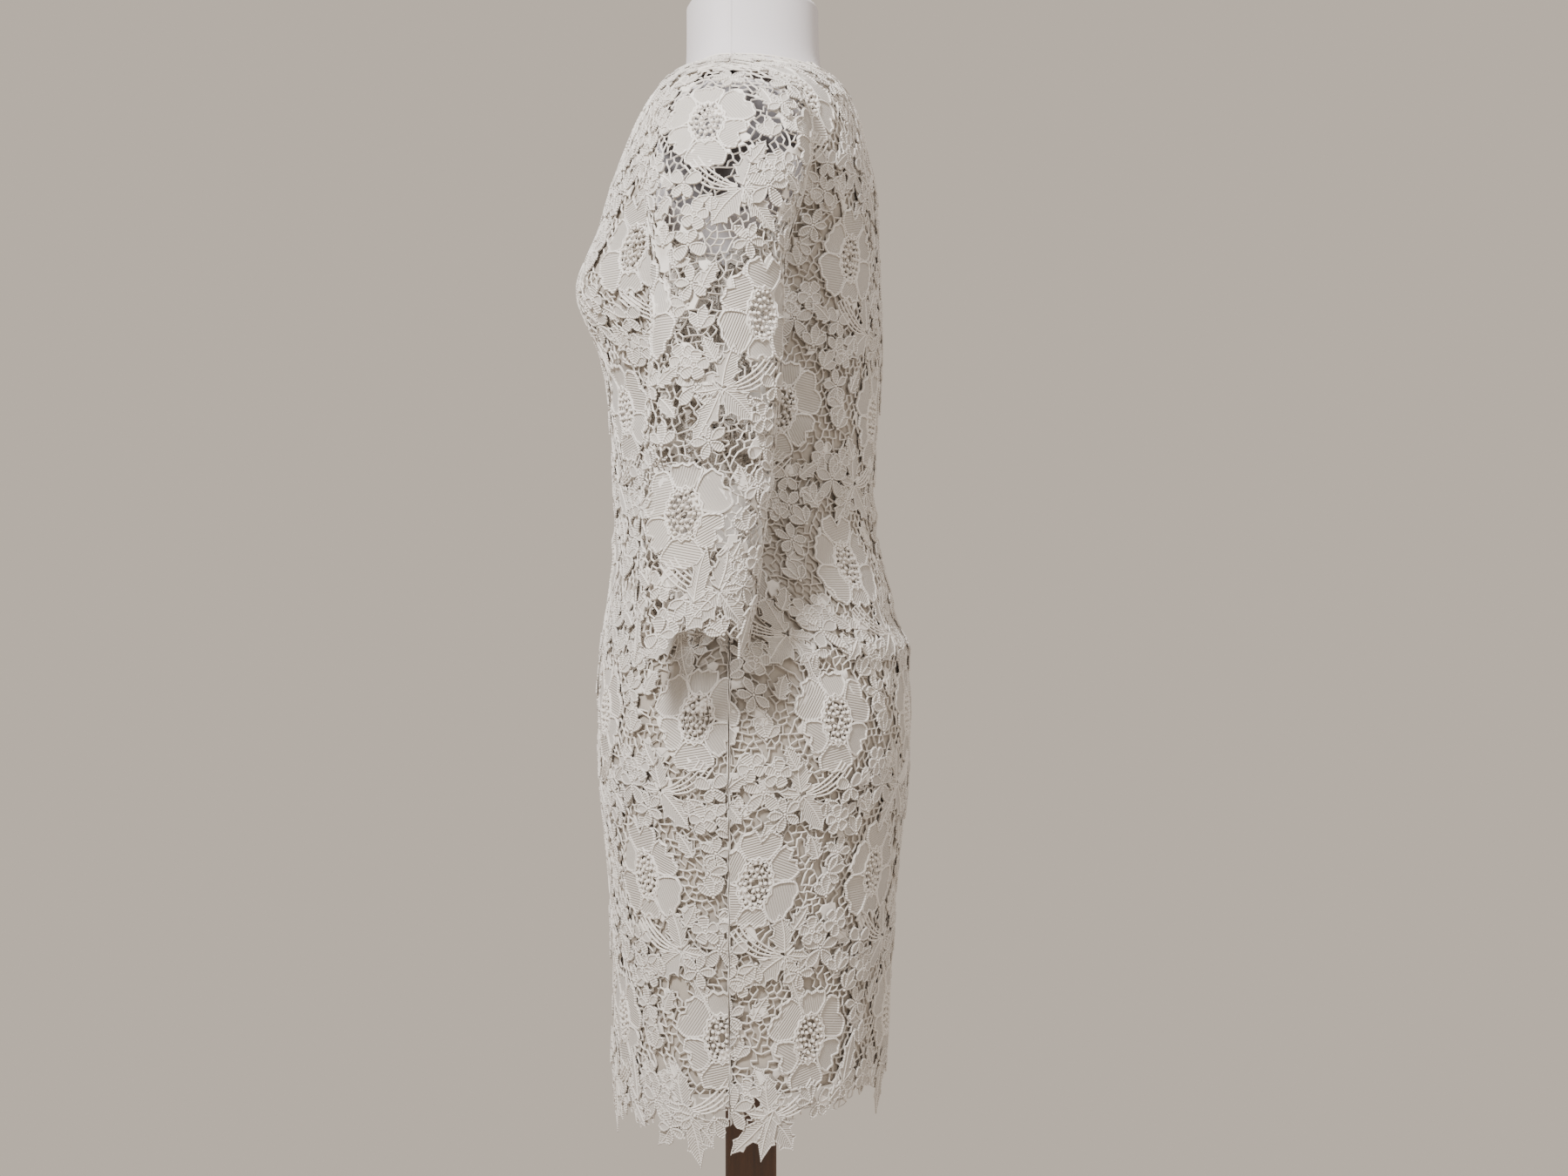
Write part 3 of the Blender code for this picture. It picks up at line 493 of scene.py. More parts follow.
class SleeveCloth:
    """One sleeve: flat lengths round from its outer line and up from the biceps line."""

    def __init__(self, hand):
        self.hand, self.flips = hand, hand > 0
        lows = SLEEVE_ROWS[0, HEIGHT] - SLEEVE_ROWS[-1, HEIGHT]
        ups = np.arange(-lows - 0.02, CAP_FLAT + 1e-6, GRID / 2)
        ups = np.append(ups[ups < CAP_FLAT - 1e-6], CAP_FLAT)
        turns = np.linspace(-math.pi, math.pi, 2 * HALF_TURNS + 1)
        turn_grid, up_grid = np.meshgrid(turns, ups)
        points = sleeve_ring(turn_grid, up_grid)
        rounds = along(np.moveaxis(points, 1, 0), HALF_TURNS).T
        zero = int(np.argmin(np.abs(ups)))
        climbs = along(points, zero) + ups[zero]
        # Round the armhole's lower half the cloth is eased in, so that both edges are as long as the biceps line
        full = np.linspace(0, math.pi, HALF_TURNS + 1)
        held = np.clip((full - CAP_EASE_FROM) / CAP_EASE_OVER, 0, 1)
        eased = (held[1:] + held[:-1]) / 2
        for side, cut in ((1, slice(HALF_TURNS, 2 * HALF_TURNS + 1)), (-1, slice(HALF_TURNS, None, -1))):
            block = np.abs(rounds[:, cut])
            steps = np.diff(block, axis=1)
            free = (steps * (1 - eased)).sum(axis=1, keepdims=True)
            rest = (steps * eased).sum(axis=1, keepdims=True)
            scale = np.where(ups[:, None] > 0, (block[zero, -1] - free) / rest, 1.0)
            run = np.cumsum(steps * (1 - eased + eased * scale), axis=1)
            rounds[:, cut] = side * np.concatenate([np.zeros((len(ups), 1)), run], axis=1)
        self.half = rounds[zero, -1]
        highest = float(climbs[-1].max())
        self.rounds = np.arange(-SLEEVE_TABLE_REACH, SLEEVE_TABLE_REACH, GRID)
        self.ups = np.arange(ups[0], highest + 0.02, GRID)
        want_round, want_up = np.meshgrid(self.rounds, self.ups)
        # Every flat place's angle and climb, by steps from a guess on a round arm
        angle, up = want_round / ARM_RADIUS, np.minimum(want_up, CAP_FLAT)
        for _ in range(STEPS):
            row = np.interp(up, ups, np.arange(len(ups)))
            column = (angle + math.pi) / (turns[1] - turns[0])
            turn = 0.5 * (want_round - read_table(rounds, row, column)) / STEP_RADIUS
            climb = 0.5 * (want_up - read_table(climbs, row, column))
            angle, up = np.clip(angle + turn, -math.pi, math.pi), np.clip(up + climb, ups[0], CAP_FLAT)
        self.angle_table, self.up_table = angle, up
        self.cap_rounds, self.cap_ups = rounds[-1], climbs[-1]
        self.tube_ends = (ups, -rounds[:, 0], rounds[:, -1])
        self.extent = (*SLEEVE_EXTENT, highest + EXTENT_OVER)

    def ends(self, up):
        ups, right, left = self.tube_ends
        return -np.interp(up, ups, right), np.interp(up, ups, left)

    def bottom(self, around):
        drop = CUFF_DROP * CUFF_FOLLOW * wave(np.abs(around) / self.half * CUFF_POINTS)
        return CUFF_HEIGHT + HEM_LIFT - drop - SLEEVE_ROWS[0, HEIGHT]

    def top(self, around):
        return np.interp(around, self.cap_rounds, self.cap_ups)

    def place(self, around, up, lift):
        row, column = (up - self.ups[0]) / GRID, (around - self.rounds[0]) / GRID
        angle, climb = read_table(self.angle_table, row, column), read_table(self.up_table, row, column)
        here = sleeve_ring(angle, climb)
        core = SLEEVE.read(np.maximum(-climb, 0))
        middle = np.stack([core[..., ACROSS], core[..., FORE], core[..., HEIGHT]], axis=-1)
        out = square_to(sleeve_ring, angle, climb, 0.03, 0.002, middle)
        points = here + out * lift[..., None]
        points[..., 0] *= self.hand
        return points


# Motifs, drawn flat with their height as z


def keep_up(face):
    if face.normal.z < 0:
        face.normal_flip()


def add_leaf_shape(bm, outline, base, steps, pitch, direction, cuts=(), fold=None):
    """A flat shape with a raised rolled rim and a ribbed fill."""
    first = len(bm.verts)
    corners = bmesh.ops.create_circle(bm, cap_ends=True, segments=len(outline), radius=1.0)["verts"]
    for corner, (x, y) in zip(corners, outline):
        corner.co = (x, y, base)
    face = corners[0].link_faces[0]
    face.normal_update()
    keep_up(face)
    for thick, depth in steps:
        bmesh.ops.inset_individual(bm, faces=[face], thickness=thick, depth=depth, use_even_offset=False)
    for spot, square in cuts:
        bm.verts.ensure_lookup_table()
        fresh = bm.verts[first:]
        faces = {f for corner in fresh for f in corner.link_faces}
        edges = {e for corner in fresh for e in corner.link_edges}
        bmesh.ops.bisect_plane(bm, geom=[*fresh, *edges, *faces], dist=1e-6, plane_co=spot, plane_no=square)
    bm.verts.ensure_lookup_table()
    rib, painted_light = bm.verts.layers.float["rib"], bm.verts.layers.float["painted_light"]
    for corner in bm.verts[first:]:
        # Painted light: the rim's raised top is painted bright as highlight, and the low fill darker as shade
        corner[painted_light] = (corner.co.z - base) / RIM_HEIGHT
        if fold:
            origin, heading = fold
            along_leaf = (corner.co.xy - origin).dot(heading)
            aside = abs((corner.co.xy - origin).cross(heading))
            corner[rib] = (along_leaf - 0.9 * aside) / pitch
        else:
            corner[rib] = (corner.co.x * direction[0] + corner.co.y * direction[1]) / pitch


def add_cord(bm, path, width, height, base, facets=4):
    """A half round cord along a flat path."""
    first = len(bm.verts)
    bmesh.ops.create_grid(bm, x_segments=len(path) - 1, y_segments=facets, size=0.5)
    bm.verts.ensure_lookup_table()
    path = [Vector(point) for point in path]
    for corner in bm.verts[first:]:
        i = round((corner.co.x + 0.5) * (len(path) - 1))
        side = corner.co.y
        heading = (path[min(i + 1, len(path) - 1)] - path[max(i - 1, 0)]).normalized()
        place = path[i] + Vector((-heading.y, heading.x)) * side * width
        round_share = math.sqrt(max(0.0, 1 - (2 * side) ** 2))
        corner.co = (place.x, place.y, base + height * round_share)
        # Painted light: the cord's crown is painted bright as highlight, and its sides darker as shade
        corner[bm.verts.layers.float["painted_light"]] = 0.3 + 0.7 * round_share


def add_knob(bm, x, y, radius, base, height, sides=6):
    """A small round knot."""
    first = len(bm.verts)
    bmesh.ops.create_cone(bm, cap_ends=True, segments=sides, radius1=radius, radius2=radius * 0.82, depth=height * 0.6)
    bm.verts.ensure_lookup_table()
    bmesh.ops.translate(bm, vec=(x, y, base + height * 0.3), verts=bm.verts[first:])
    faces = {face for corner in bm.verts[first:] for face in corner.link_faces}
    low = [face for face in faces if face.calc_center_median().z < base + 1e-5]
    top = [face for face in faces if face.calc_center_median().z > base + height * 0.59]
    bmesh.ops.delete(bm, geom=low, context="FACES_ONLY")
    bmesh.ops.inset_individual(bm, faces=top, thickness=radius * 0.45, depth=height * 0.4)
    bm.verts.ensure_lookup_table()
    for corner in bm.verts[first:]:
        # Painted light: the knot is painted bright towards its top as highlight, and darker at its foot as shade
        corner[bm.verts.layers.float["painted_light"]] = 0.3 + 0.7 * min(1.0, (corner.co.z - base) / height)


def new_flat():
    bm = bmesh.new()
    for mark in MARKS:
        bm.verts.layers.float.new(mark)
    return bm


# Rolled rims as steps of an inset: thickness and depth
RIM_HEIGHT = 0.0014
BIG_RIM = ((0.0005, 0.0013), (0.0013, 0.0003), (0.0005, -0.0013))
SMALL_RIM = ((0.0005, 0.0012), (0.0008, 0.0001), (0.0004, -0.0009))

# Petals of the two big flowers: depth of the notch, turn of the ribs, reach and half angle
FLOWER_PETALS = (
    (
        (0.16, 80, 1.04, 33),
        (0.03, 15, 0.97, 27),
        (0.07, -35, 1.06, 31),
        (0.17, 60, 0.90, 28),
        (0.02, 100, 1.05, 32),
        (0.10, 35, 0.95, 27),
    ),
    (
        (0.03, 20, 0.93, 28),
        (0.18, 75, 1.07, 33),
        (0.12, 110, 0.99, 27),
        (0.02, -20, 1.03, 31),
        (0.10, 50, 0.90, 28),
        (0.05, 90, 1.05, 32),
    ),
)
FLOWER_MIDDLE = (0.0150, 0.0212)
PETAL_FEET = (0.0125, 0.0185)
PETAL_ENDS = (0.0375, 0.0420)


def petal_outline(turn, half, notch, ripple, phase, reach):
    """A broad petal between the flower's oval middle and its wavy outer end."""
    points = []
    outer = [end * reach for end in PETAL_ENDS]
    for t in np.linspace(-1, 1, 17):
        angle = turn + half * t
        far = 1 - 0.15 * abs(t) ** 6 - notch * math.exp(-(((t - 0.12 * math.sin(phase)) / 0.15) ** 2))
        far += ripple * (math.cos(3.9 * math.pi * t + phase) + 0.5 * math.cos(7.3 * t - phase))
        points.append((outer[0] * far * math.cos(angle), outer[1] * far * math.sin(angle)))
    for t, out in ((1.06, 0.62), (1.05, 0.28), (0.8, 0), (0.0, 0), (-0.8, 0), (-1.05, 0.28), (-1.06, 0.62)):
        angle = turn + half * t
        x, y = (foot + (end - foot) * out for foot, end in zip(PETAL_FEET, outer))
        points.append((x * math.cos(angle), y * math.sin(angle)))
    return points


def on_middle(share, angle):
    """A place on the big flower's oval middle."""
    return FLOWER_MIDDLE[0] * share * math.cos(angle), FLOWER_MIDDLE[1] * share * math.sin(angle)


def big_flower(variant):
    """A six petalled flower with a cluster of knots on its oval middle."""
    bm = new_flat()
    halves = [petal[3] for petal in FLOWER_PETALS[variant]]
    for i, (notch, rib, reach, half) in enumerate(FLOWER_PETALS[variant]):
        turn = math.radians(28 + sum(halves[:i]) + sum(halves[1 : i + 1]) + 0.6 * i)
        outline = petal_outline(turn, math.radians(half), notch, 0.022, i * 1.9 + variant, reach)
        ahead, aside = (math.cos(turn), math.sin(turn), 0.0), (-math.sin(turn), math.cos(turn), 0.0)
        cuts = []
        for heading, fars in ((ahead, (0.022, 0.031)), (aside, (-0.007, 0.007))):
            cuts += [((far * heading[0], far * heading[1], 0.0), heading) for far in fars]
        rib = math.radians(rib)
        add_leaf_shape(bm, outline, 0.0007 + 0.0003 * (i % 2), BIG_RIM, 0.0021, (math.cos(rib), math.sin(rib)), cuts)
    scallop = [on_middle(1 + 0.05 * (-1) ** i, a) for i, a in enumerate(np.linspace(0, 2 * math.pi, 33))]
    add_cord(bm, scallop, 0.0021, 0.0018, 0.0006)
    for part in (0.22, 0.48, 0.76):
        add_cord(bm, [on_middle(part, a) for a in np.linspace(0, 2 * math.pi, 21)], 0.0008, 0.0006, 0.0, 2)
    for spoke in range(8):
        add_cord(bm, [on_middle(s, spoke * math.pi / 4 + 0.2) for s in (0.2, 0.6, 1.0)], 0.0009, 0.0006, 0.0, 2)
    for count, part in ((7, 0.30), (12, 0.56), (18, 0.82)):
        for i in range(count):
            x, y = on_middle(part, (i + 0.5 * (count % 2)) / count * 2 * math.pi)
            add_knob(bm, x, y, 0.0018, 0.0004, 0.0025)
    return bm


def leaf_outline(length, width, lobes):
    """A leaf along +X with forward pointing lobes."""
    upper = []
    for i in range(lobes):
        s = (i + 0.55) / (lobes + 0.55)
        wide = width / 2 * math.sin(math.pi * s**0.72) ** 0.75
        upper.append((length * (s - 0.075), wide * 0.86))
        upper.append((length * (s + 0.035), wide * 1.16))
        upper.append((length * (s + 0.065), wide * 0.74))
    half = [(0.0, 0.0008), *upper, (length * 0.93, width * 0.06)]
    return [(x, -y) for x, y in half] + [(length, 0.0)] + [(x, y) for x, y in reversed(half)]


def add_leaf(bm, spot, turn, length, width, lobes, base):
    """A lobed leaf with a raised midrib, pointing along its turn."""
    start, heading = Vector(spot), Vector((math.cos(turn), math.sin(turn)))
    side = Vector((-heading.y, heading.x))
    outline = [tuple(start + heading * x + side * y) for x, y in leaf_outline(length, width, lobes)]
    cuts = [((*spot, 0.0), (*side, 0.0))]
    for share in (0.35, 0.68):
        cuts.append(((*(at + ahead * length * share for at, ahead in zip(spot, heading)), 0.0), (*heading, 0.0)))
    add_leaf_shape(bm, outline, base, SMALL_RIM, 0.0024, (1, 0), cuts, (start, heading))
    shares = (0.0, 0.2, 0.45, 0.68, 0.86)
    rib = [tuple(start + heading * length * s + side * 0.10 * width * math.sin(s * 3)) for s in shares]
    add_cord(bm, rib, 0.0013, 0.0010, base + 0.0003)


# Leaves of the two sprays: turn in degrees, length, width and lobes
SPRAY_LEAVES = (
    ((98, 0.034, 0.020, 3), (228, 0.046, 0.0175, 3), (306, 0.038, 0.023, 3), (172, 0.020, 0.012, 2)),
    ((76, 0.035, 0.021, 3), (246, 0.048, 0.0175, 3), (318, 0.036, 0.024, 3), (186, 0.022, 0.013, 2)),
)


def leaf_spray(variant):
    """Four leaves at a joint with a comb of curved stems."""
    bm = new_flat()
    for i, (turn, length, width, lobes) in enumerate(SPRAY_LEAVES[variant]):
        turn = math.radians(turn)
        spot = (0.0015 * math.cos(turn), 0.0015 * math.sin(turn))
        add_leaf(bm, spot, turn, length, width, lobes, 0.0006 + 0.0002 * i)
    stems = []
    for i in range(4):
        path = []
        for share in np.linspace(0, 1, 8):
            heading = math.radians(3 + 27 * share)
            c, s = math.cos(heading), math.sin(heading)
            reach = 0.004 + share * (0.041 + 0.002 * i)
            aside = (i - 1.2) * (0.0012 + 0.0026 * min(1.0, share * 2.2))
            path.append((reach * c + aside * s, reach * s - aside * c))
        stems.append(path)
        add_cord(bm, path, 0.0017, 0.0013, 0.0003 + 0.0001 * i)
    for near, far in zip(stems, stems[1:]):
        for i in range(2, 8):
            add_cord(bm, [near[i], far[i]], 0.0008, 0.0006, 0.0003, 2)
    return bm


def drop_outline(length, width, blunt, points=10):
    """A small petal along +X; blunt 0 is pointed and 1 is round."""
    outline = []
    for i in range(points):
        a = (i + 0.5) / points * 2 * math.pi
        s = (1 - math.cos(a)) / 2
        wide = abs(math.sin(a)) ** (1.25 - 0.45 * blunt) * (0.70 + 0.45 * s)
        outline.append((length * (s**0.9 * (1 + 0.02 * (1 - blunt))), -math.copysign(wide, math.sin(a)) * width / 2))
    if blunt < 0.5:
        outline.insert(points // 2, (length * 1.10, 0.0))
    return outline


# Petals of the small motifs: turn in degrees, length and width in mm, and 1 for a round end or 0 for a point
SMALL_MOTIFS = {
    "blossom": ((10, 11.5, 10.5, 1), (84, 12, 11, 1), (158, 11, 10, 1), (226, 12.5, 10.5, 1), (296, 11.5, 11, 1)),
    "butterfly": ((30, 14.5, 12, 1), (150, 14.5, 12, 1), (238, 12.5, 9.5, 0), (300, 13, 9.5, 0)),
    "tulip": ((54, 15, 9, 0), (92, 18, 10.5, 0), (131, 14.5, 9, 0)),
    "star": ((20, 13.5, 9, 0), (88, 14, 9.5, 0), (160, 13, 9, 0), (232, 14, 9, 0), (304, 13.5, 9.5, 0)),
    "wide star": ((14, 18, 11.5, 0), (80, 19, 12, 0), (150, 17.5, 11.5, 0), (222, 18.5, 11.5, 0), (298, 18, 12, 0)),
    "sprig": ((66, 17, 10, 0), (116, 14, 9.5, 0), (18, 14, 9, 0)),
}


def small_motif(kind):
    """Small rimmed petals round a knot."""
    bm = new_flat()
    for i, (turn, length, width, blunt) in enumerate(SMALL_MOTIFS[kind]):
        turn = math.radians(turn)
        heading, side = Vector((math.cos(turn), math.sin(turn))), Vector((-math.sin(turn), math.cos(turn)))
        start = heading * 0.0008
        outline = [tuple(start + heading * x + side * y) for x, y in drop_outline(length / 1000, width / 1000, blunt)]
        add_leaf_shape(bm, outline, 0.0002 + 0.00015 * i, SMALL_RIM, 0.0020, tuple(heading))
    add_knob(bm, 0.0, 0.0, 0.0014, 0.0005, 0.0016, 8)
    return bm


def small_leaf(length, width, lobes, start):
    bm = new_flat()
    add_leaf(bm, (start, 0.0), 0.0, length, width, lobes, 0.0004)
    return bm


# One repeat of the lace: motif, across and up from the big flower's middle, and turn in degrees
REPEAT = (
    ("flower", 0.000, 0.000, 0),
    ("spray", -0.032, -0.060, 0),
    ("butterfly", 0.014, -0.056, 8),
    ("star", 0.051, 0.022, 15),
    ("tulip", 0.058, -0.014, -12),
    ("blossom", 0.046, -0.036, 40),
    ("butterfly", 0.047, 0.052, 190),
    ("sprig", 0.022, 0.054, 20),
    ("leaf", -0.046, 0.028, 62),
    ("star", -0.016, 0.057, 50),
    ("leaf", 0.034, -0.074, -46),
    ("blossom", 0.004, -0.082, 20),
    ("sprig", -0.062, 0.006, 100),
    ("wide star", 0.058, -0.057, 10),
    ("blossom", -0.054, -0.042, 0),
    ("leaf", 0.034, -0.050, 35),
    ("tulip", 0.033, 0.036, -35),
    ("leaf", -0.042, -0.030, 118),
    ("tulip", -0.008, -0.066, 200),
)
# Half width and half height of the places where the net is whole under a motif
COVERS = {
    "flower": (0.0335, 0.0375),
    "spray": (0.009, 0.009),
    "star": (0.007, 0.007),
    "wide star": (0.010, 0.010),
    "leaf": (0.006, 0.006),
    "sprig": (0.006, 0.006),
    "blossom": (0.007, 0.007),
    "butterfly": (0.007, 0.006),
    "long leaf": (0.006, 0.010),
}
FLOWER_NET = (0.0135, 0.0195)  # but it is open on a big flower's middle


def layout(cloth, wide, tall, first_round, first_up, hand):
    """Where every motif lies: name, place, turn, whether it is mirrored, and variant."""
    rows = []
    low_round, high_round, low_up, high_up = cloth.extent
    for row in range(-3, 10):
        mirrored = (row % 2 == 1) != (hand < 0)
        flip = -1 if mirrored else 1
        for column in range(-4, 5):
            for name, across, up, turn in REPEAT:
                x = first_round + (column + (row % 2) / 2) * wide + across * flip
                y = first_up + row * tall + up
                if not (low_round < x < high_round and low_up < y < high_up):
                    continue
                rows.append((name, x, y, math.radians(turn) * flip, mirrored, row % 2))
    low = cloth.bottom(np.array([place[1] for place in rows]))
    return [place for place, level in zip(rows, low) if place[2] > level + 0.004]


def hem_row(cloth, points, rise):
    """Leaves whose tips are the hem's points, with small motifs between them."""
    width = cloth.ends(np.array([cloth.extent[2] + 0.03]))[1][0]
    rows = []
    for i in range(-2 * int(points / 2) - 1, 2 * int(points / 2) + 2):
        x = i * width / points
        if abs(x) > width - 0.004:
            continue
        low = float(cloth.bottom(np.array([x]))[0])
        if i % 2:
            name = ("star", "butterfly", "tulip")[i % 3]
            rows.append((name, x, low + rise * 0.22, math.radians(-90 + 25 * (i % 3)), i % 4 == 1, 0))
        else:
            tilt = (9, -12, 4, -6, 14, -9)[i % 6]
            rows.append(("long leaf", x, low + rise, math.radians(-90 + tilt), i % 4 == 0, 0))
            rows.append(("tulip", x + 0.004, low + rise, math.radians(80 + 2 * tilt), i % 4 == 2, 0))
    return rows


LIFTS = {"flower": 0.0, "spray": 0.0004, "long leaf": 0.0016}  # the large motifs
LAYER = 0.0010  # small motifs that overlap lie in three layers


class Flat:
    """Faces laid flat, as arrays: points, their rib phases and painted light marks, faces' corners and how many each
    has.
    """

    def __init__(self, points, marks, corners, sizes):
        self.points, self.marks, self.corners, self.sizes = points, marks, corners, sizes

    @classmethod
    def of(cls, bm):
        mesh = bpy.data.meshes.new("flat")
        bm.to_mesh(mesh)
        bm.free()
        points = np.zeros(len(mesh.vertices) * 3, np.float32)
        marks = np.zeros((2, len(mesh.vertices)), np.float32)
        corners = np.zeros(len(mesh.loops), np.int32)
        sizes = np.zeros(len(mesh.polygons), np.int32)
        mesh.vertices.foreach_get("co", points)
        for name, values in zip(MARKS, marks):
            mesh.attributes[name].data.foreach_get("value", values)
        mesh.loops.foreach_get("vertex_index", corners)
        mesh.polygons.foreach_get("loop_total", sizes)
        bpy.data.meshes.remove(mesh)
        return cls(points.reshape(-1, 3).astype(float), marks.T, corners, sizes)

    def starts(self):
        return np.concatenate([[0], np.cumsum(self.sizes)[:-1]])

    def turned_over(self):
        """The mirror image, its faces still upwards."""
        first = np.repeat(self.starts(), self.sizes)
        back = 2 * first + np.repeat(self.sizes, self.sizes) - 1 - np.arange(len(self.corners))
        return Flat(self.points * (-1, 1, 1), self.marks, self.corners[back], self.sizes)

    def moved(self, x, y, turn):
        c, s = math.cos(turn), math.sin(turn)
        points = self.points @ np.array([[c, s, 0], [-s, c, 0], [0, 0, 1]]) + (x, y, 0)
        return Flat(points, self.marks, self.corners, self.sizes)

    def trimmed(self, cloth, open_bottom):
        """Cut along the panel's edges."""
        around, up = self.points[:, 0], self.points[:, 1]
        low = np.full_like(up, -9.0) if open_bottom else cloth.bottom(around)
        right, left = cloth.ends(up)
        top = cloth.top(around)
        inside = (around > right) & (around < left) & (up < top) & (up > low)
        kept = np.logical_or.reduceat(inside[self.corners], self.starts())
        points = self.points.copy()
        points[:, 1] = np.where(inside, up, np.clip(up, low, np.maximum(top, low)))
        right, left = cloth.ends(points[:, 1])
        points[:, 0] = np.where(inside, around, np.clip(around, right, left))
        corners = self.corners[np.repeat(kept, self.sizes)]
        used, corners = np.unique(corners, return_inverse=True)
        return Flat(points[used], self.marks[used], corners.astype(np.int32), self.sizes[kept])

    def area(self):
        """Area of the thread laid flat, its gaps left out."""
        starts = self.starts()
        here = self.points[self.corners]
        after = np.arange(1, len(self.corners) + 1)
        after[starts + self.sizes - 1] = starts
        first = here[np.repeat(starts, self.sizes)]
        crosses = np.cross(here - first, here[after] - first)
        return float(np.linalg.norm(np.add.reduceat(crosses, starts), axis=-1).sum() / 2)

    def mesh(self, name, placed):
        """A mesh of these faces with its points set in place."""
        mesh = bpy.data.meshes.new(name)
        mesh.vertices.add(len(placed))
        mesh.vertices.foreach_set("co", placed.astype(np.float32).ravel())
        mesh.loops.add(len(self.corners))
        mesh.loops.foreach_set("vertex_index", self.corners)
        mesh.polygons.add(len(self.sizes))
        mesh.polygons.foreach_set("loop_start", self.starts().astype(np.int32))
        mesh.polygons.foreach_set("loop_total", self.sizes)
        mesh.update(calc_edges=True)
        mesh.validate()
        for name, values in zip(MARKS, self.marks.T):
            mesh.attributes.new(name, "FLOAT", "POINT").data.foreach_set("value", np.ascontiguousarray(values))
        return mesh


def joined(flats):
    """Several flat pieces as one."""
    shifts = np.cumsum([0] + [len(flat.points) for flat in flats[:-1]])
    return Flat(
        np.concatenate([flat.points for flat in flats]),
        np.concatenate([flat.marks for flat in flats]),
        np.concatenate([flat.corners + shift for flat, shift in zip(flats, shifts)]),
        np.concatenate([flat.sizes for flat in flats]),
    )


NET_JITTER = 0.46  # how far the net's knots stray, as a share of a gap
NET_MERGE = 0.31  # bars whose third draw is above this are left out
NET_TOP, NET_UNDER = 0.0009, -0.0003
NET_MARGIN = 0.01  # how much of the net is kept past a panel's edges, until it is trimmed
NET_LOW_MARGIN = 0.05


def net(cloth, motifs, size, bar, seed):
    """The ground of irregular six sided gaps; under the motifs it is whole."""
    low_round, high_round, low_up, high_up = cloth.extent
    columns = int((high_round - low_round) / (size * math.sqrt(3) / 2))
    rows = int((high_up - low_up) / (size * 1.5))
    bm = new_flat()
    bmesh.ops.create_grid(bm, x_segments=columns, y_segments=rows, size=0.5)
    spots = {corner: (round((corner.co.x + 0.5) * columns), round((corner.co.y + 0.5) * rows)) for corner in bm.verts}
    shifts = np.random.default_rng(seed).uniform(-NET_JITTER, NET_JITTER, (columns + 1, rows + 1, 3))
    gone = []
    for edge in bm.edges:
        (i, j), (k, m) = spots[edge.verts[0]], spots[edge.verts[1]]
        if i == k and 0 < i < columns and (i + min(j, m)) % 2 == 0:
            gone.append(edge)
        elif 0 < j < rows and 0 < i < columns and j == m and shifts[i, j, 2] > NET_MERGE:
            gone.append(edge)
    for corner, (i, j) in spots.items():
        corner.co.x = low_round + (i + shifts[i, j, 0]) * size * math.sqrt(3) / 2
        corner.co.y = low_up + (1.5 * j + (0.25 if (i + j) % 2 else -0.25) + shifts[i, j, 1]) * size
    bmesh.ops.dissolve_edges(bm, edges=gone, use_verts=True)
    across, up = np.array([face.calc_center_median()[:2] for face in bm.faces]).T
    right, left = cloth.ends(up)
    off = (across < right - NET_MARGIN) | (across > left + NET_MARGIN)
    off |= (up < cloth.bottom(np.zeros(1))[0] - NET_LOW_MARGIN) | (up > cloth.top(across) + NET_MARGIN)

    def near(x, y, reach):
        return ((across - x) / reach[0]) ** 2 + ((up - y) / reach[1]) ** 2 < 1

    covered = np.zeros(len(across), bool)
    for name, x, y, *_ in motifs:
        if name in COVERS:
            hidden = near(x, y, COVERS[name])
            if name == "flower":
                hidden &= ~near(x, y, FLOWER_NET)
            covered |= hidden
    faces = list(bm.faces)
    cells = [face for face, out, hidden in zip(faces, off, covered) if not out and not hidden]
    bmesh.ops.delete(bm, geom=[face for face, out in zip(faces, off) if out], context="FACES")
    ridge = {corner for cell in cells for corner in cell.verts}
    bmesh.ops.inset_individual(bm, faces=cells, thickness=bar / 2 * 1.12, depth=0.0, use_even_offset=False)
    bmesh.ops.delete(bm, geom=cells, context="FACES_ONLY")
    for corner in bm.verts:
        corner.co.z = NET_TOP if corner in ridge else NET_UNDER
        # Painted light: the bars' ridges are painted bright as highlight, and their low edges by the gaps darker as
        # shade
        corner[bm.verts.layers.float["painted_light"]] = 0.8 if corner in ridge else 0.35
    return Flat.of(bm).trimmed(cloth, False)


def make_templates():
    """Each motif and its mirror image, by name, variant and whether it is mirrored."""
    motifs = {("flower", variant): big_flower(variant) for variant in (0, 1)}
    motifs.update({("spray", variant): leaf_spray(variant) for variant in (0, 1)})
    motifs.update({(kind, 0): small_motif(kind) for kind in SMALL_MOTIFS})
    motifs["leaf", 0] = small_leaf(0.024, 0.0145, 3, -0.011)
    motifs["long leaf", 0] = small_leaf(0.045, 0.0175, 2, 0.0)
    templates = {}
    for (name, variant), bm in motifs.items():
        flat = Flat.of(bm)
        templates[name, variant, False] = flat
        templates[name, variant, True] = flat.turned_over()
    return templates


def motif_sheet(cloth, motifs, templates, edges=()):
    """Motifs laid flat and cut along a panel's seams, with its edge cords."""
    flats = []
    for i, (name, x, y, turn, mirrored, variant) in enumerate(motifs):
        flat = templates.get((name, variant, mirrored)) or templates[name, 0, mirrored]
        flat = flat.moved(x, y, turn)
        flat.points[:, 2] += LIFTS.get(name, LAYER * (i % 3))
        flats.append(flat)
    bm = new_flat()
    for path, width in edges:
        add_cord(bm, path, width, CORD_HEIGHT, CORD_BASE)
    return joined([joined(flats).trimmed(cloth, True), Flat.of(bm)])


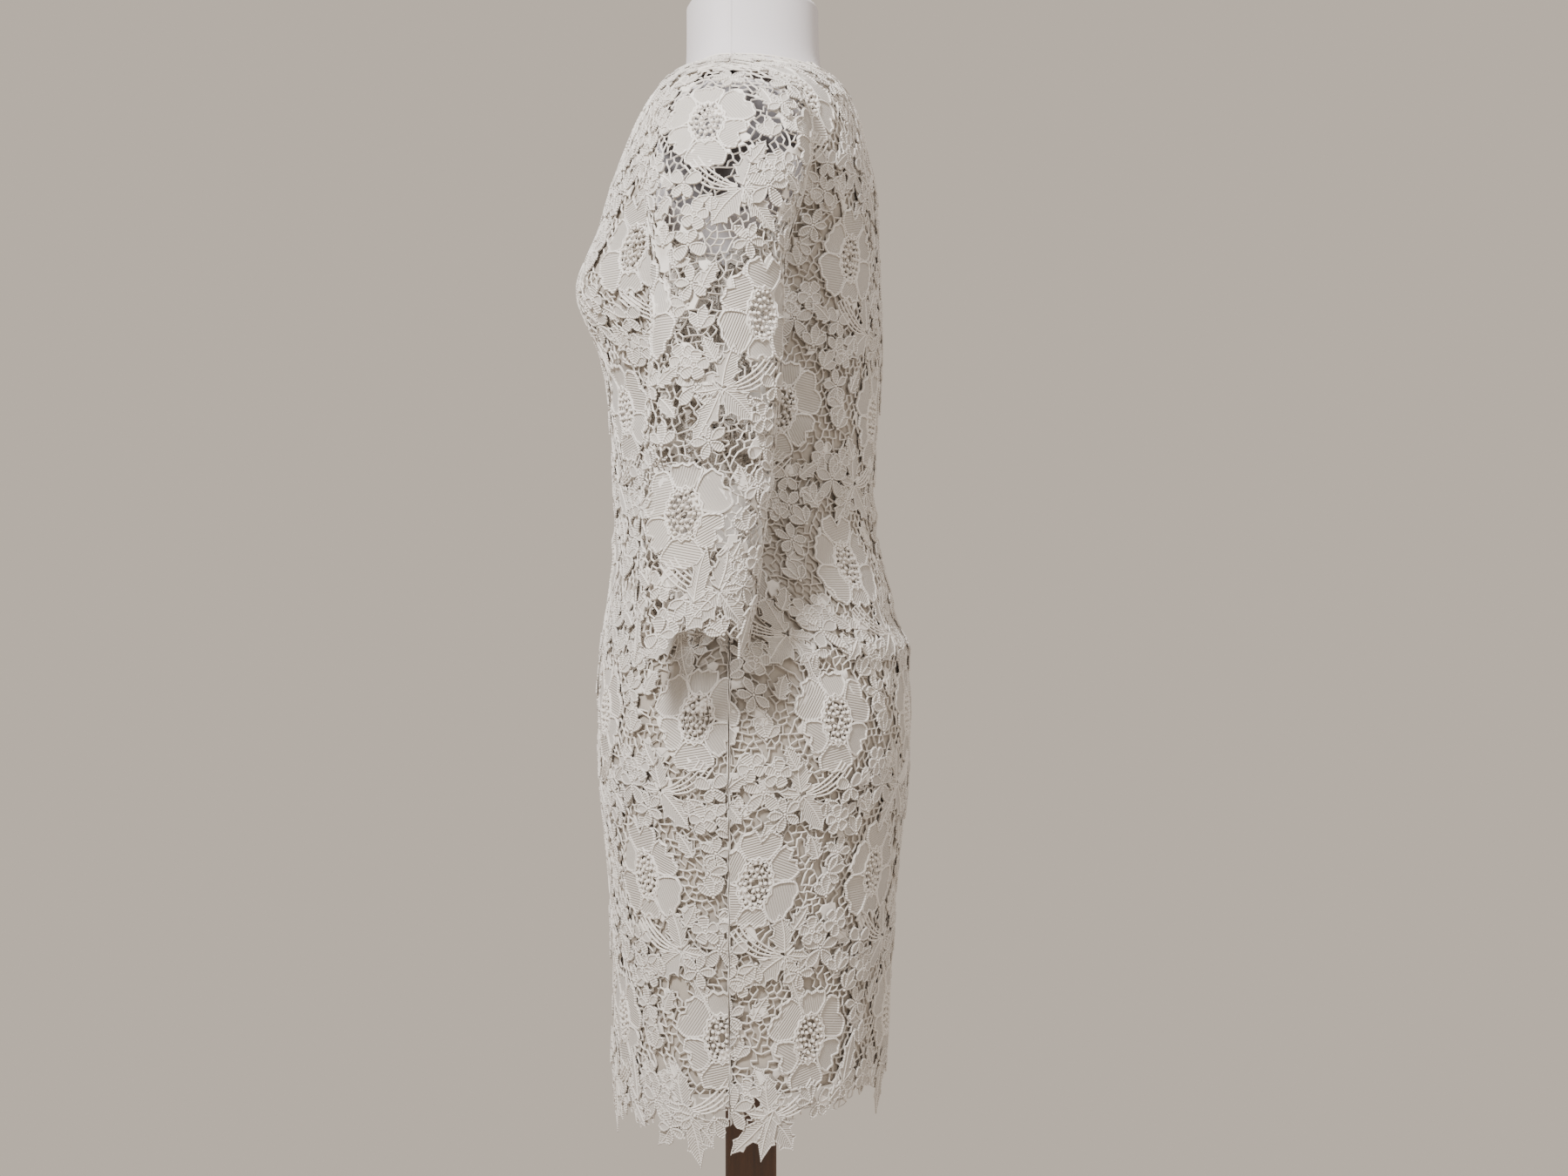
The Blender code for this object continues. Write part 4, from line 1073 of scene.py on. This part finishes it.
def mesh_of(bm, name):
    mesh = bpy.data.meshes.new(name)
    bm.to_mesh(mesh)
    bm.free()
    return mesh


def add_object(name, mesh, material):
    """A piece of the dress or the form, on the part's one body."""
    mesh.shade_smooth()
    mesh.set_sharp_from_angle(angle=SHARP_ANGLE)
    mesh.materials.append(material)
    piece = bpy.data.objects.new(name, mesh)
    bpy.context.scene.collection.objects.link(piece)
    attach(piece, "root")
    return piece


def finish_piece(name, flat, cloth, material):
    """Sets flat faces on their cloth's surface."""
    mesh = flat.mesh(name, cloth.place(flat.points[:, 0], flat.points[:, 1], flat.points[:, 2] - LACE_SINK))
    if cloth.flips:
        mesh.flip_normals()
    return add_object(name, mesh, material)


def edge_paths(cloth, low, high):
    """Cords along a panel's seams and its top edge, with their widths."""
    ups = np.arange(low, high, CORD_STEP)
    paths = [(list(zip(end, ups)), SEAM_CORD) for end in reversed(cloth.ends(ups))]
    rim = np.arange(*np.concatenate(cloth.ends(np.array([high]))), CORD_STEP)
    return [*paths, (list(zip(rim, cloth.top(rim) - NECK_CORD_DROP)), NECK_CORD)]


# Materials


def plug(tree, socket, value):
    """Links a wire to a socket, or sets it to a value."""
    if isinstance(value, Wire):
        tree.links.new(value.socket, socket)
    else:
        socket.default_value = value


class Wire:
    """A node's output that takes part in sums."""

    def __init__(self, tree, socket):
        self.tree = tree
        self.socket = socket

    def reckon(self, operation, first, second):
        node = self.tree.nodes.new("ShaderNodeMath")
        node.operation = operation
        for socket, value in zip(node.inputs, (first, second)):
            plug(self.tree, socket, value)
        return Wire(self.tree, node.outputs[0])

    def __add__(self, other):
        return self.reckon("ADD", self, other)

    __radd__ = __add__

    def __sub__(self, other):
        return self.reckon("SUBTRACT", self, other)

    def __rsub__(self, other):
        return self.reckon("SUBTRACT", other, self)

    def __mul__(self, other):
        return self.reckon("MULTIPLY", self, other)

    __rmul__ = __mul__


class Finish:
    """A material, its nodes, and the place of each point on the piece."""

    def __init__(self, name, **constants):
        self.material = bpy.data.materials.new(name)
        self.material.use_nodes = True
        self.tree = self.material.node_tree
        self.shader = self.tree.nodes["Principled BSDF"]
        for socket, value in constants.items():
            self.shader.inputs[socket.replace("_", " ")].default_value = value
        self.place = self.make("TexCoord", output=3)

    def make(self, kind, settings=None, output=0, **inputs):
        """A node of a kind with its settings and the values or wires of its sockets."""
        node = self.tree.nodes.new("ShaderNode" + kind)
        for key, value in (settings or {}).items():
            setattr(node, key, value)
        for key, value in inputs.items():
            name = key.replace("_", " ")
            plug(self.tree, next(s for s in node.inputs if s.name == name and s.enabled), value)
        return Wire(self.tree, node.outputs[output])

    def noise(self, **inputs):
        return self.make("TexNoise", **{"Vector": self.place, **inputs})

    def share(self, value, low, high):
        """How far a value lies from low to high, held between 0 and 1."""
        return self.make("MapRange", {"clamp": True}, Value=value, From_Min=low, From_Max=high)

    def mix(self, factor, first, second):
        return self.make("Mix", {"data_type": "RGBA"}, 2, Factor=factor, A=first, B=second)

    def bump(self, strength, height):
        return self.make("Bump", Strength=strength, Distance=1.0, Height=height)

    def feed(self, **sockets):
        for key, wire in sockets.items():
            self.tree.links.new(wire.socket, self.shader.inputs[key.replace("_", " ")])


def shaded(colour, *shares):
    """A darker colour, by a share for red, green and blue."""
    return (*(value * share for value, share in zip(colour, shares)), 1)


WARM_THREAD = (0.62, 0.565, 0.49, 1)


def thread_finish(low, high):
    """Satin stitched thread: ribs across the fills, with painted highlight on the raised cords and painted shade on
    the low fills and net.
    """
    finish = Finish("lace thread", Roughness=0.72, Sheen_Weight=0.25, Sheen_Roughness=0.5, Specular_IOR_Level=0.3)
    painted_light = finish.make("Attribute", {"attribute_name": "painted_light"}, 2)
    rib = finish.make("Attribute", {"attribute_name": "rib"}, 2)
    ribs = finish.make("Math", {"operation": "SINE"}, Value=rib * (2 * math.pi))
    # Painted light: by each point's height mark, the colour goes from the darker low colour as painted shade to the
    # brighter high colour as painted highlight
    colour = finish.mix(finish.share(painted_light, 0.2, 1.0), low, high)
    patches = finish.share(finish.noise(Scale=14.0, Detail=3.0), 0.42, 0.70)
    finish.feed(
        Base_Color=finish.mix(patches * 0.35, colour, WARM_THREAD),
        Normal=finish.bump(0.9, ribs * 0.00034 + finish.noise(Scale=1400.0, Detail=2.0) * 0.00022),
    )
    return finish.material


def lining_finish(colour):
    """Smooth satin lining with a fine weave and soft shade patches."""
    finish = Finish("lining cloth", Roughness=0.55, Sheen_Weight=0.2)
    finish.feed(
        Base_Color=finish.mix(finish.noise(Scale=9.0, Detail=2.0) * 0.5, colour, shaded(colour, 0.86, 0.84, 0.80)),
        Normal=finish.bump(0.5, finish.noise(Scale=1800.0, Detail=1.0) * 0.0001),
    )
    return finish.material


def jersey_finish(colour):
    """Fine stretch jersey of the form's cover, and its arm plates painted near black as the shade inside the hollow
    sleeves.
    """
    finish = Finish("form jersey", Roughness=0.66, Sheen_Weight=0.3)
    bands = {"wave_type": "BANDS", "bands_direction": "Z"}
    knit = finish.make("TexWave", bands, 1, Vector=finish.place, Scale=260.0, Distortion=1.2, Detail=2.0)
    cover = finish.mix(finish.noise(Scale=7.0, Detail=2.0) * 0.4, colour, shaded(colour, 0.9, 0.9, 0.94))
    across, ahead, height = (finish.make("SeparateXYZ", None, axis, Vector=finish.place) for axis in range(3))
    out = finish.make("Math", {"operation": "ABSOLUTE"}, Value=across)
    past = out - ARMHOLE_TURN * (ahead - ARMHOLE_Y) - (ARMHOLE_X + ARM_PLATE_OUT)
    # Painted shade: the arm plates get the near black colour of the shade inside the sleeves
    plate_shade_mask = finish.share(past, -0.0007, -0.0003) * finish.share(height, ARM_PLATE_LOW, ARM_PLATE_LOW + 0.002)
    finish.feed(
        Base_Color=finish.mix(plate_shade_mask, cover, ARM_PLATE_SHADE_COLOUR),
        Normal=finish.bump(0.35, knit * 0.00012),
    )
    return finish.material


def wood_finish(name, dark, light, grain_along):
    """Stained wood with fine grain along the post."""
    finish = Finish(name, Roughness=0.42, Coat_Weight=0.15)
    stretch = (1.0, 1.0, 0.06) if grain_along else (1.0, 0.08, 1.0)
    place = finish.make("Mapping", Vector=finish.place, Scale=stretch)
    grain = finish.noise(Vector=place, Scale=220.0, Detail=6.0, Roughness=0.62)
    broad = finish.noise(Vector=place, Scale=34.0, Detail=3.0, Distortion=0.6)
    mask = finish.share(grain * 0.6 + broad * 0.4, 0.36, 0.62)
    finish.feed(
        Base_Color=finish.mix(mask, dark, light),
        Roughness=mask * 0.12 + 0.36,
        Normal=finish.bump(0.35, grain * 0.0004),
    )
    return finish.material


# Settings, operators and panel


class LaceSettings(bpy.types.PropertyGroup):
    """Sizes and colours of the lace."""

    gap: bpy.props.FloatProperty(
        name="Net gap",
        description="Side of the net's six sided gaps",
        default=0.0042,
        unit="LENGTH",
        subtype="DISTANCE",
    )
    bar: bpy.props.FloatProperty(
        name="Net bar",
        description="Width of the net's threads",
        default=0.0016,
        unit="LENGTH",
        subtype="DISTANCE",
    )
    # Painted highlight: the raised cords get this brighter colour of the same thread
    thread: bpy.props.FloatVectorProperty(
        name="Thread",
        description="Colour of the raised cords",
        default=(0.84, 0.795, 0.745, 1),
        size=4,
        subtype="COLOR",
    )
    # Painted shade: the low fills and the net get this darker colour of the same thread
    fill: bpy.props.FloatVectorProperty(
        name="Fill",
        description="Colour of the low fills and net",
        default=(0.52, 0.48, 0.435, 1),
        size=4,
        subtype="COLOR",
    )


class StandSettings(bpy.types.PropertyGroup):
    """Colours of the lining, the form and its stand."""

    # The lining's colour is set well below its own cream, as painted shade in the gaps behind the lace
    lining: bpy.props.FloatVectorProperty(
        name="Lining",
        description="Colour of the lining",
        default=(0.42, 0.375, 0.325, 1),
        size=4,
        subtype="COLOR",
    )
    cover: bpy.props.FloatVectorProperty(
        name="Form cover",
        description="Colour of the form's jersey",
        default=(0.63, 0.595, 0.605, 1),
        size=4,
        subtype="COLOR",
    )
    wood: bpy.props.FloatVectorProperty(
        name="Wood",
        description="Lighter colour of the stained wood",
        default=(0.088, 0.034, 0.011, 1),
        size=4,
        subtype="COLOR",
    )


def build_lace(prefix, cloth, motifs, templates, edges, nodes, seed):
    """A panel's net, big motifs and small motifs as three pieces of one material, with the panel's solids hidden."""
    settings = bpy.context.scene.lace_settings
    material = bpy.data.materials.get("lace thread") or thread_finish(tuple(settings.fill), tuple(settings.thread))
    threads = net(cloth, motifs, settings.gap, settings.bar, seed)
    ground = finish_piece(prefix + "_net", threads, cloth, material)
    big = [motif for motif in motifs if motif[0] in LIFTS]
    small = [motif for motif in motifs if motif[0] not in LIFTS]
    raised = [
        finish_piece(prefix + "_flowers", motif_sheet(cloth, big, templates, edges), cloth, material),
        finish_piece(prefix + "_sprigs", motif_sheet(cloth, small, templates), cloth, material),
    ]
    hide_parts(*nodes)
    threads.area()


class DRESS_OT_body_lace(bpy.types.Operator):
    """Lays the lace of the front and the back"""

    bl_idname = "dress.body_lace"
    bl_label = "Body lace"

    def execute(self, context):
        templates = make_templates()
        # Side, hand of the repeat, place of its first big flower, and seed of the net
        panels = (("front", 1, -0.026, 0.089, 7), ("back", -1, 0.0565, 0.086, 11))
        for side, hand, first_round, first_up, seed in panels:
            cloth = BodyCloth(side)
            motifs = layout(cloth, REPEAT_WIDE, REPEAT_TALL, first_round, first_up, hand)
            motifs += hem_row(cloth, HEM_POINTS, HEM_LEAF_RISE)
            edges = edge_paths(cloth, PANEL_CORD_LOW, cloth.neck_ups[0])
            build_lace(side, cloth, motifs, templates, edges, ["lace_" + side], seed)
        return {"FINISHED"}


class DRESS_OT_sleeves(bpy.types.Operator):
    """Lays the lace of both sleeves"""

    bl_idname = "dress.sleeves"
    bl_label = "Sleeves"

    def execute(self, context):
        templates = make_templates()
        for side, hand, first_up, seed in (("left", 1, -0.202, 24), ("right", -1, -0.225, 22)):
            cloth = SleeveCloth(hand)
            motifs = layout(cloth, SLEEVE_REPEAT_WIDE, SLEEVE_REPEAT_TALL, 0.014, first_up, hand)
            motifs += hem_row(cloth, 2 * CUFF_POINTS, CUFF_LEAF_RISE)
            edges = edge_paths(cloth, SLEEVE_CORD_LOW, 0.0)
            nodes, rests_on = [f"sleeve_{side}_front", f"sleeve_{side}_back"], ["front_net", "back_net"]
            build_lace(side + "_sleeve", cloth, motifs, templates, edges, nodes, seed)
        return {"FINISHED"}


def new_grid(columns, rows):
    """A grid, and how far its points lie across and up it, from -0.5 to 0.5."""
    bm = bmesh.new()
    bmesh.ops.create_grid(bm, x_segments=columns, y_segments=rows, size=0.5)
    across, up = np.array([corner.co[:2] for corner in bm.verts]).T
    return bm, across, up


def set_points(bm, spots):
    for corner, spot in zip(bm.verts, spots):
        corner.co = spot


def face_out(bm):
    """Turns an open shell's faces away from the body's core line."""
    bmesh.ops.recalc_face_normals(bm, faces=bm.faces)
    outward = 0.0
    for face in bm.faces:
        middle = face.calc_center_median()
        outward += face.normal.dot(middle - Vector((0.0, SEAM_Y, middle.z))) * face.calc_area()
    if outward < 0:
        bmesh.ops.reverse_faces(bm, faces=bm.faces)


def neckline(side):
    """Shares across a panel and the stations at which its lining meets the neckline."""
    shares = np.linspace(-1, 1, 61)
    return shares, station_at(np.array([neck_height(side, share) for share in shares])) - LINING_NECK_DROP


def panel_spot(neck, part):
    """Stations of a lining's rows, crowded above the armhole's lower end."""
    low, base, split = station_at(LINING_HEM_HEIGHT), station_at(LINING_CROWD_HEIGHT), LINING_CROWD_SHARE
    crowded = base + (neck - base) * (part - split) / (1 - split)
    return np.where(part <= split, low + (base - low) * part / split, crowded)


class DRESS_OT_lining(bpy.types.Operator):
    """Makes the smooth lining of the front and the back"""

    bl_idname = "dress.lining"
    bl_label = "Lining"

    def execute(self, context):
        # The lining is painted dark, as the shade seen through the lace's gaps
        material = lining_finish(tuple(context.scene.stand_settings.lining))
        levels = np.linspace(BODY.stations[0], BODY.stations[-1], 400)
        for side in ("front", "back"):
            bm, across, up = new_grid(44, 110)
            shares, part = across * 2, up + 0.5
            neck_shares, neck_stations = neckline(side)
            stations = panel_spot(np.interp(shares, neck_shares, neck_stations), part)
            ends = np.array([seam_angle(side, level) for level in levels])
            edge = np.interp(panel_spot(neck_stations[-1], part), levels, ends)
            ease = LINING_ARMHOLE_EASE + (1 - LINING_ARMHOLE_EASE) * np.abs(shares)
            angles = np.copysign(np.minimum(np.abs(shares) * edge, np.interp(stations, levels, ends) * ease), shares)
            depths = LINING_DEPTH + shoulder_sink(stations, LINING_SHOULDER_SINK)
            set_points(bm, body_point(side, stations, angles, depths))
            face_out(bm)
            piece = add_object(side + "_lining", mesh_of(bm, side + "_lining"), material)
            wall = piece.modifiers.new("Wall", "SOLIDIFY")
            wall.thickness = LINING_THICK
            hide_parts("lining_" + side)
        return {"FINISHED"}


def lowest(item):
    return item.co.z if isinstance(item, bmesh.types.BMVert) else min(corner.co.z for corner in item.verts)


def close_holes(bm):
    bmesh.ops.holes_fill(bm, edges=[edge for edge in bm.edges if edge.is_boundary])


class DRESS_OT_dress_form(bpy.types.Operator):
    """Makes the smooth limbless form with its neck seam"""

    bl_idname = "dress.dress_form"
    bl_label = "Dress form"

    def execute(self, context):
        material = jersey_finish(tuple(context.scene.stand_settings.cover))
        low, high = station_at(FORM_BOTTOM), BODY.stations[-1]
        bm, across, up = new_grid(96, 130)
        turns, stations = (across + 0.5) % 1.0 * 360.0 - 90.0, low + (high - low) * (up + 0.5)
        depths = FORM_DEPTH + shoulder_sink(stations, FORM_SHOULDER_SINK)
        ahead = body_point("front", stations, np.radians(turns), depths, FORM_SWELL, False)
        behind = body_point("back", stations, np.radians(180.0 - turns), depths, FORM_SWELL, False)
        set_points(bm, np.where((turns <= 90.0)[:, None], ahead, behind))
        bmesh.ops.remove_doubles(bm, verts=bm.verts, dist=1e-5)
        close_holes(bm)
        for hand in (-1, 1):
            upper = [item for item in (*bm.verts, *bm.edges, *bm.faces) if lowest(item) > ARM_PLATE_LOW]
            spot, square = (hand * (ARMHOLE_X + ARM_PLATE_OUT), ARMHOLE_Y, 0.0), (hand, -ARMHOLE_TURN, 0)
            bmesh.ops.bisect_plane(bm, geom=upper, dist=1e-5, plane_co=spot, plane_no=square, clear_outer=True)
            close_holes(bm)
        bmesh.ops.recalc_face_normals(bm, faces=bm.faces)
        rim = [edge for edge in bm.edges if lowest(edge) > BODY_ROWS[-1, HEIGHT] - 0.002]
        bmesh.ops.bevel(bm, geom=rim, offset=FORM_TOP_ROUND, segments=5, profile=0.5, affect="EDGES", material=-1)
        piece = add_object("form_body", mesh_of(bm, "form_body"), material)
        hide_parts("dress_form")
        bm, up, across = new_grid(23, 6)
        stations = np.interp(up, (-0.5, 0.5), (station_at(NECK_SEAM_LOW), high - 0.0005))
        lifts = NECK_SEAM_RISE * np.sqrt(np.maximum(0, 1 - (2 * across) ** 2)) - NECK_SEAM_SINK
        angles = math.pi / 2 - np.radians(NECK_SEAM_AHEAD) - across * NECK_SEAM_WIDE / NECK_RADIUS
        set_points(bm, body_point("front", stations, angles, FORM_DEPTH - lifts, FORM_SWELL, False))
        face_out(bm)
        add_object("form_neck_seam", mesh_of(bm, "form_neck_seam"), material)
        return {"FINISHED"}


class DRESS_OT_stand(bpy.types.Operator):
    """Finishes the wooden post and the round foot"""

    bl_idname = "dress.stand"
    bl_label = "Stand"

    def execute(self, context):
        light = tuple(context.scene.stand_settings.wood)
        dark = shaded(light, 0.45, 0.42, 0.40)
        for node, along_post in (("post", True), ("base", False)):
            material = wood_finish(node + " wood", dark, light, along_post)
            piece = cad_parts[node]
            piece.data.materials.clear()
            piece.data.materials.append(material)
        return {"FINISHED"}


# Stage
FLOOR_RADIUS = 1.15
FLOOR_GAP = 0.0005
FLOOR_COLOUR = (0.62, 0.58, 0.54, 1)
FLOOR_SPECK = (0.52, 0.48, 0.44, 1)
ROOM_COLOUR = (0.70, 0.605, 0.51, 1)
ROOM_STRENGTH = 0.90
LIGHT_AIM = (0.0, 0.0, 1.0)
LIGHTS = (
    ("key light", (1.38, -0.68, 2.20), 68.0, 0.35),
    ("back light", (1.4, 0.9, 2.3), 12.0, 0.8),
)
CAMERA_SPOT = (1.6, 0.030, 0.945)
CAMERA_TURN = (math.radians(90), 0.0, math.radians(90))
FOCAL_LENGTH = 40.0  # in millimetres, as the sensor's width is
SENSOR_WIDTH = 36.0


def set_up(name, data, spot, turn):
    """A light or the camera in its place."""
    item = bpy.data.objects.new(name, data)
    item.location, item.rotation_euler = spot, turn
    bpy.context.scene.collection.objects.link(item)
    return item


class DRESS_OT_stage(bpy.types.Operator):
    """Sets the floor, the soft lights and the camera"""

    bl_idname = "dress.stage"
    bl_label = "Stage"

    def execute(self, context):
        bm = bmesh.new()
        bmesh.ops.create_circle(bm, cap_ends=True, segments=64, radius=FLOOR_RADIUS)
        finish = Finish("floor", Roughness=0.9)
        finish.feed(Base_Color=finish.mix(finish.noise(Scale=60.0, Detail=4.0) * 0.3, FLOOR_COLOUR, FLOOR_SPECK))
        floor = bpy.data.objects.new("floor", mesh_of(bm, "floor"))
        floor.data.materials.append(finish.material)
        floor.location.z = -FLOOR_GAP
        context.scene.collection.objects.link(floor)
        world = bpy.data.worlds.new("soft room")
        context.scene.world = world
        world.use_nodes = True
        world.node_tree.nodes["Background"].inputs["Color"].default_value = ROOM_COLOUR
        world.node_tree.nodes["Background"].inputs["Strength"].default_value = ROOM_STRENGTH
        for name, spot, power, size in LIGHTS:
            lamp = bpy.data.lights.new(name, "AREA")
            lamp.energy, lamp.size = power, size
            set_up(name, lamp, spot, (Vector(LIGHT_AIM) - Vector(spot)).to_track_quat("-Z", "Y").to_euler())
        lens = bpy.data.cameras.new("camera")
        lens.lens, lens.sensor_width = FOCAL_LENGTH, SENSOR_WIDTH
        context.scene.camera = set_up("camera", lens, CAMERA_SPOT, CAMERA_TURN)
        return {"FINISHED"}


OPERATORS = (
    DRESS_OT_body_lace,
    DRESS_OT_sleeves,
    DRESS_OT_lining,
    DRESS_OT_dress_form,
    DRESS_OT_stand,
    DRESS_OT_stage,
)


class DRESS_PT_panel(bpy.types.Panel):
    """Lists the dress's settings and pieces"""

    bl_idname = "DRESS_PT_panel"
    bl_label = "Lace dress"
    bl_space_type = "VIEW_3D"
    bl_region_type = "UI"
    bl_category = "Lace dress"

    def draw(self, context):
        for settings in (context.scene.lace_settings, context.scene.stand_settings):
            for key in settings.bl_rna.properties.keys():
                if key not in ("rna_type", "name"):
                    self.layout.prop(settings, key)
        for operator in OPERATORS:
            self.layout.operator(operator.bl_idname)


CLASSES = (LaceSettings, StandSettings, *OPERATORS, DRESS_PT_panel)


def register():
    for each in CLASSES:
        bpy.utils.register_class(each)
    bpy.types.Scene.lace_settings = bpy.props.PointerProperty(type=LaceSettings)
    bpy.types.Scene.stand_settings = bpy.props.PointerProperty(type=StandSettings)


def unregister():
    del bpy.types.Scene.lace_settings
    del bpy.types.Scene.stand_settings
    for each in reversed(CLASSES):
        bpy.utils.unregister_class(each)


def main():
    register()
    for operator in OPERATORS:
        group, name = operator.bl_idname.split(".")
        getattr(getattr(bpy.ops, group), name)()


if __name__ == "__main__":
    main()
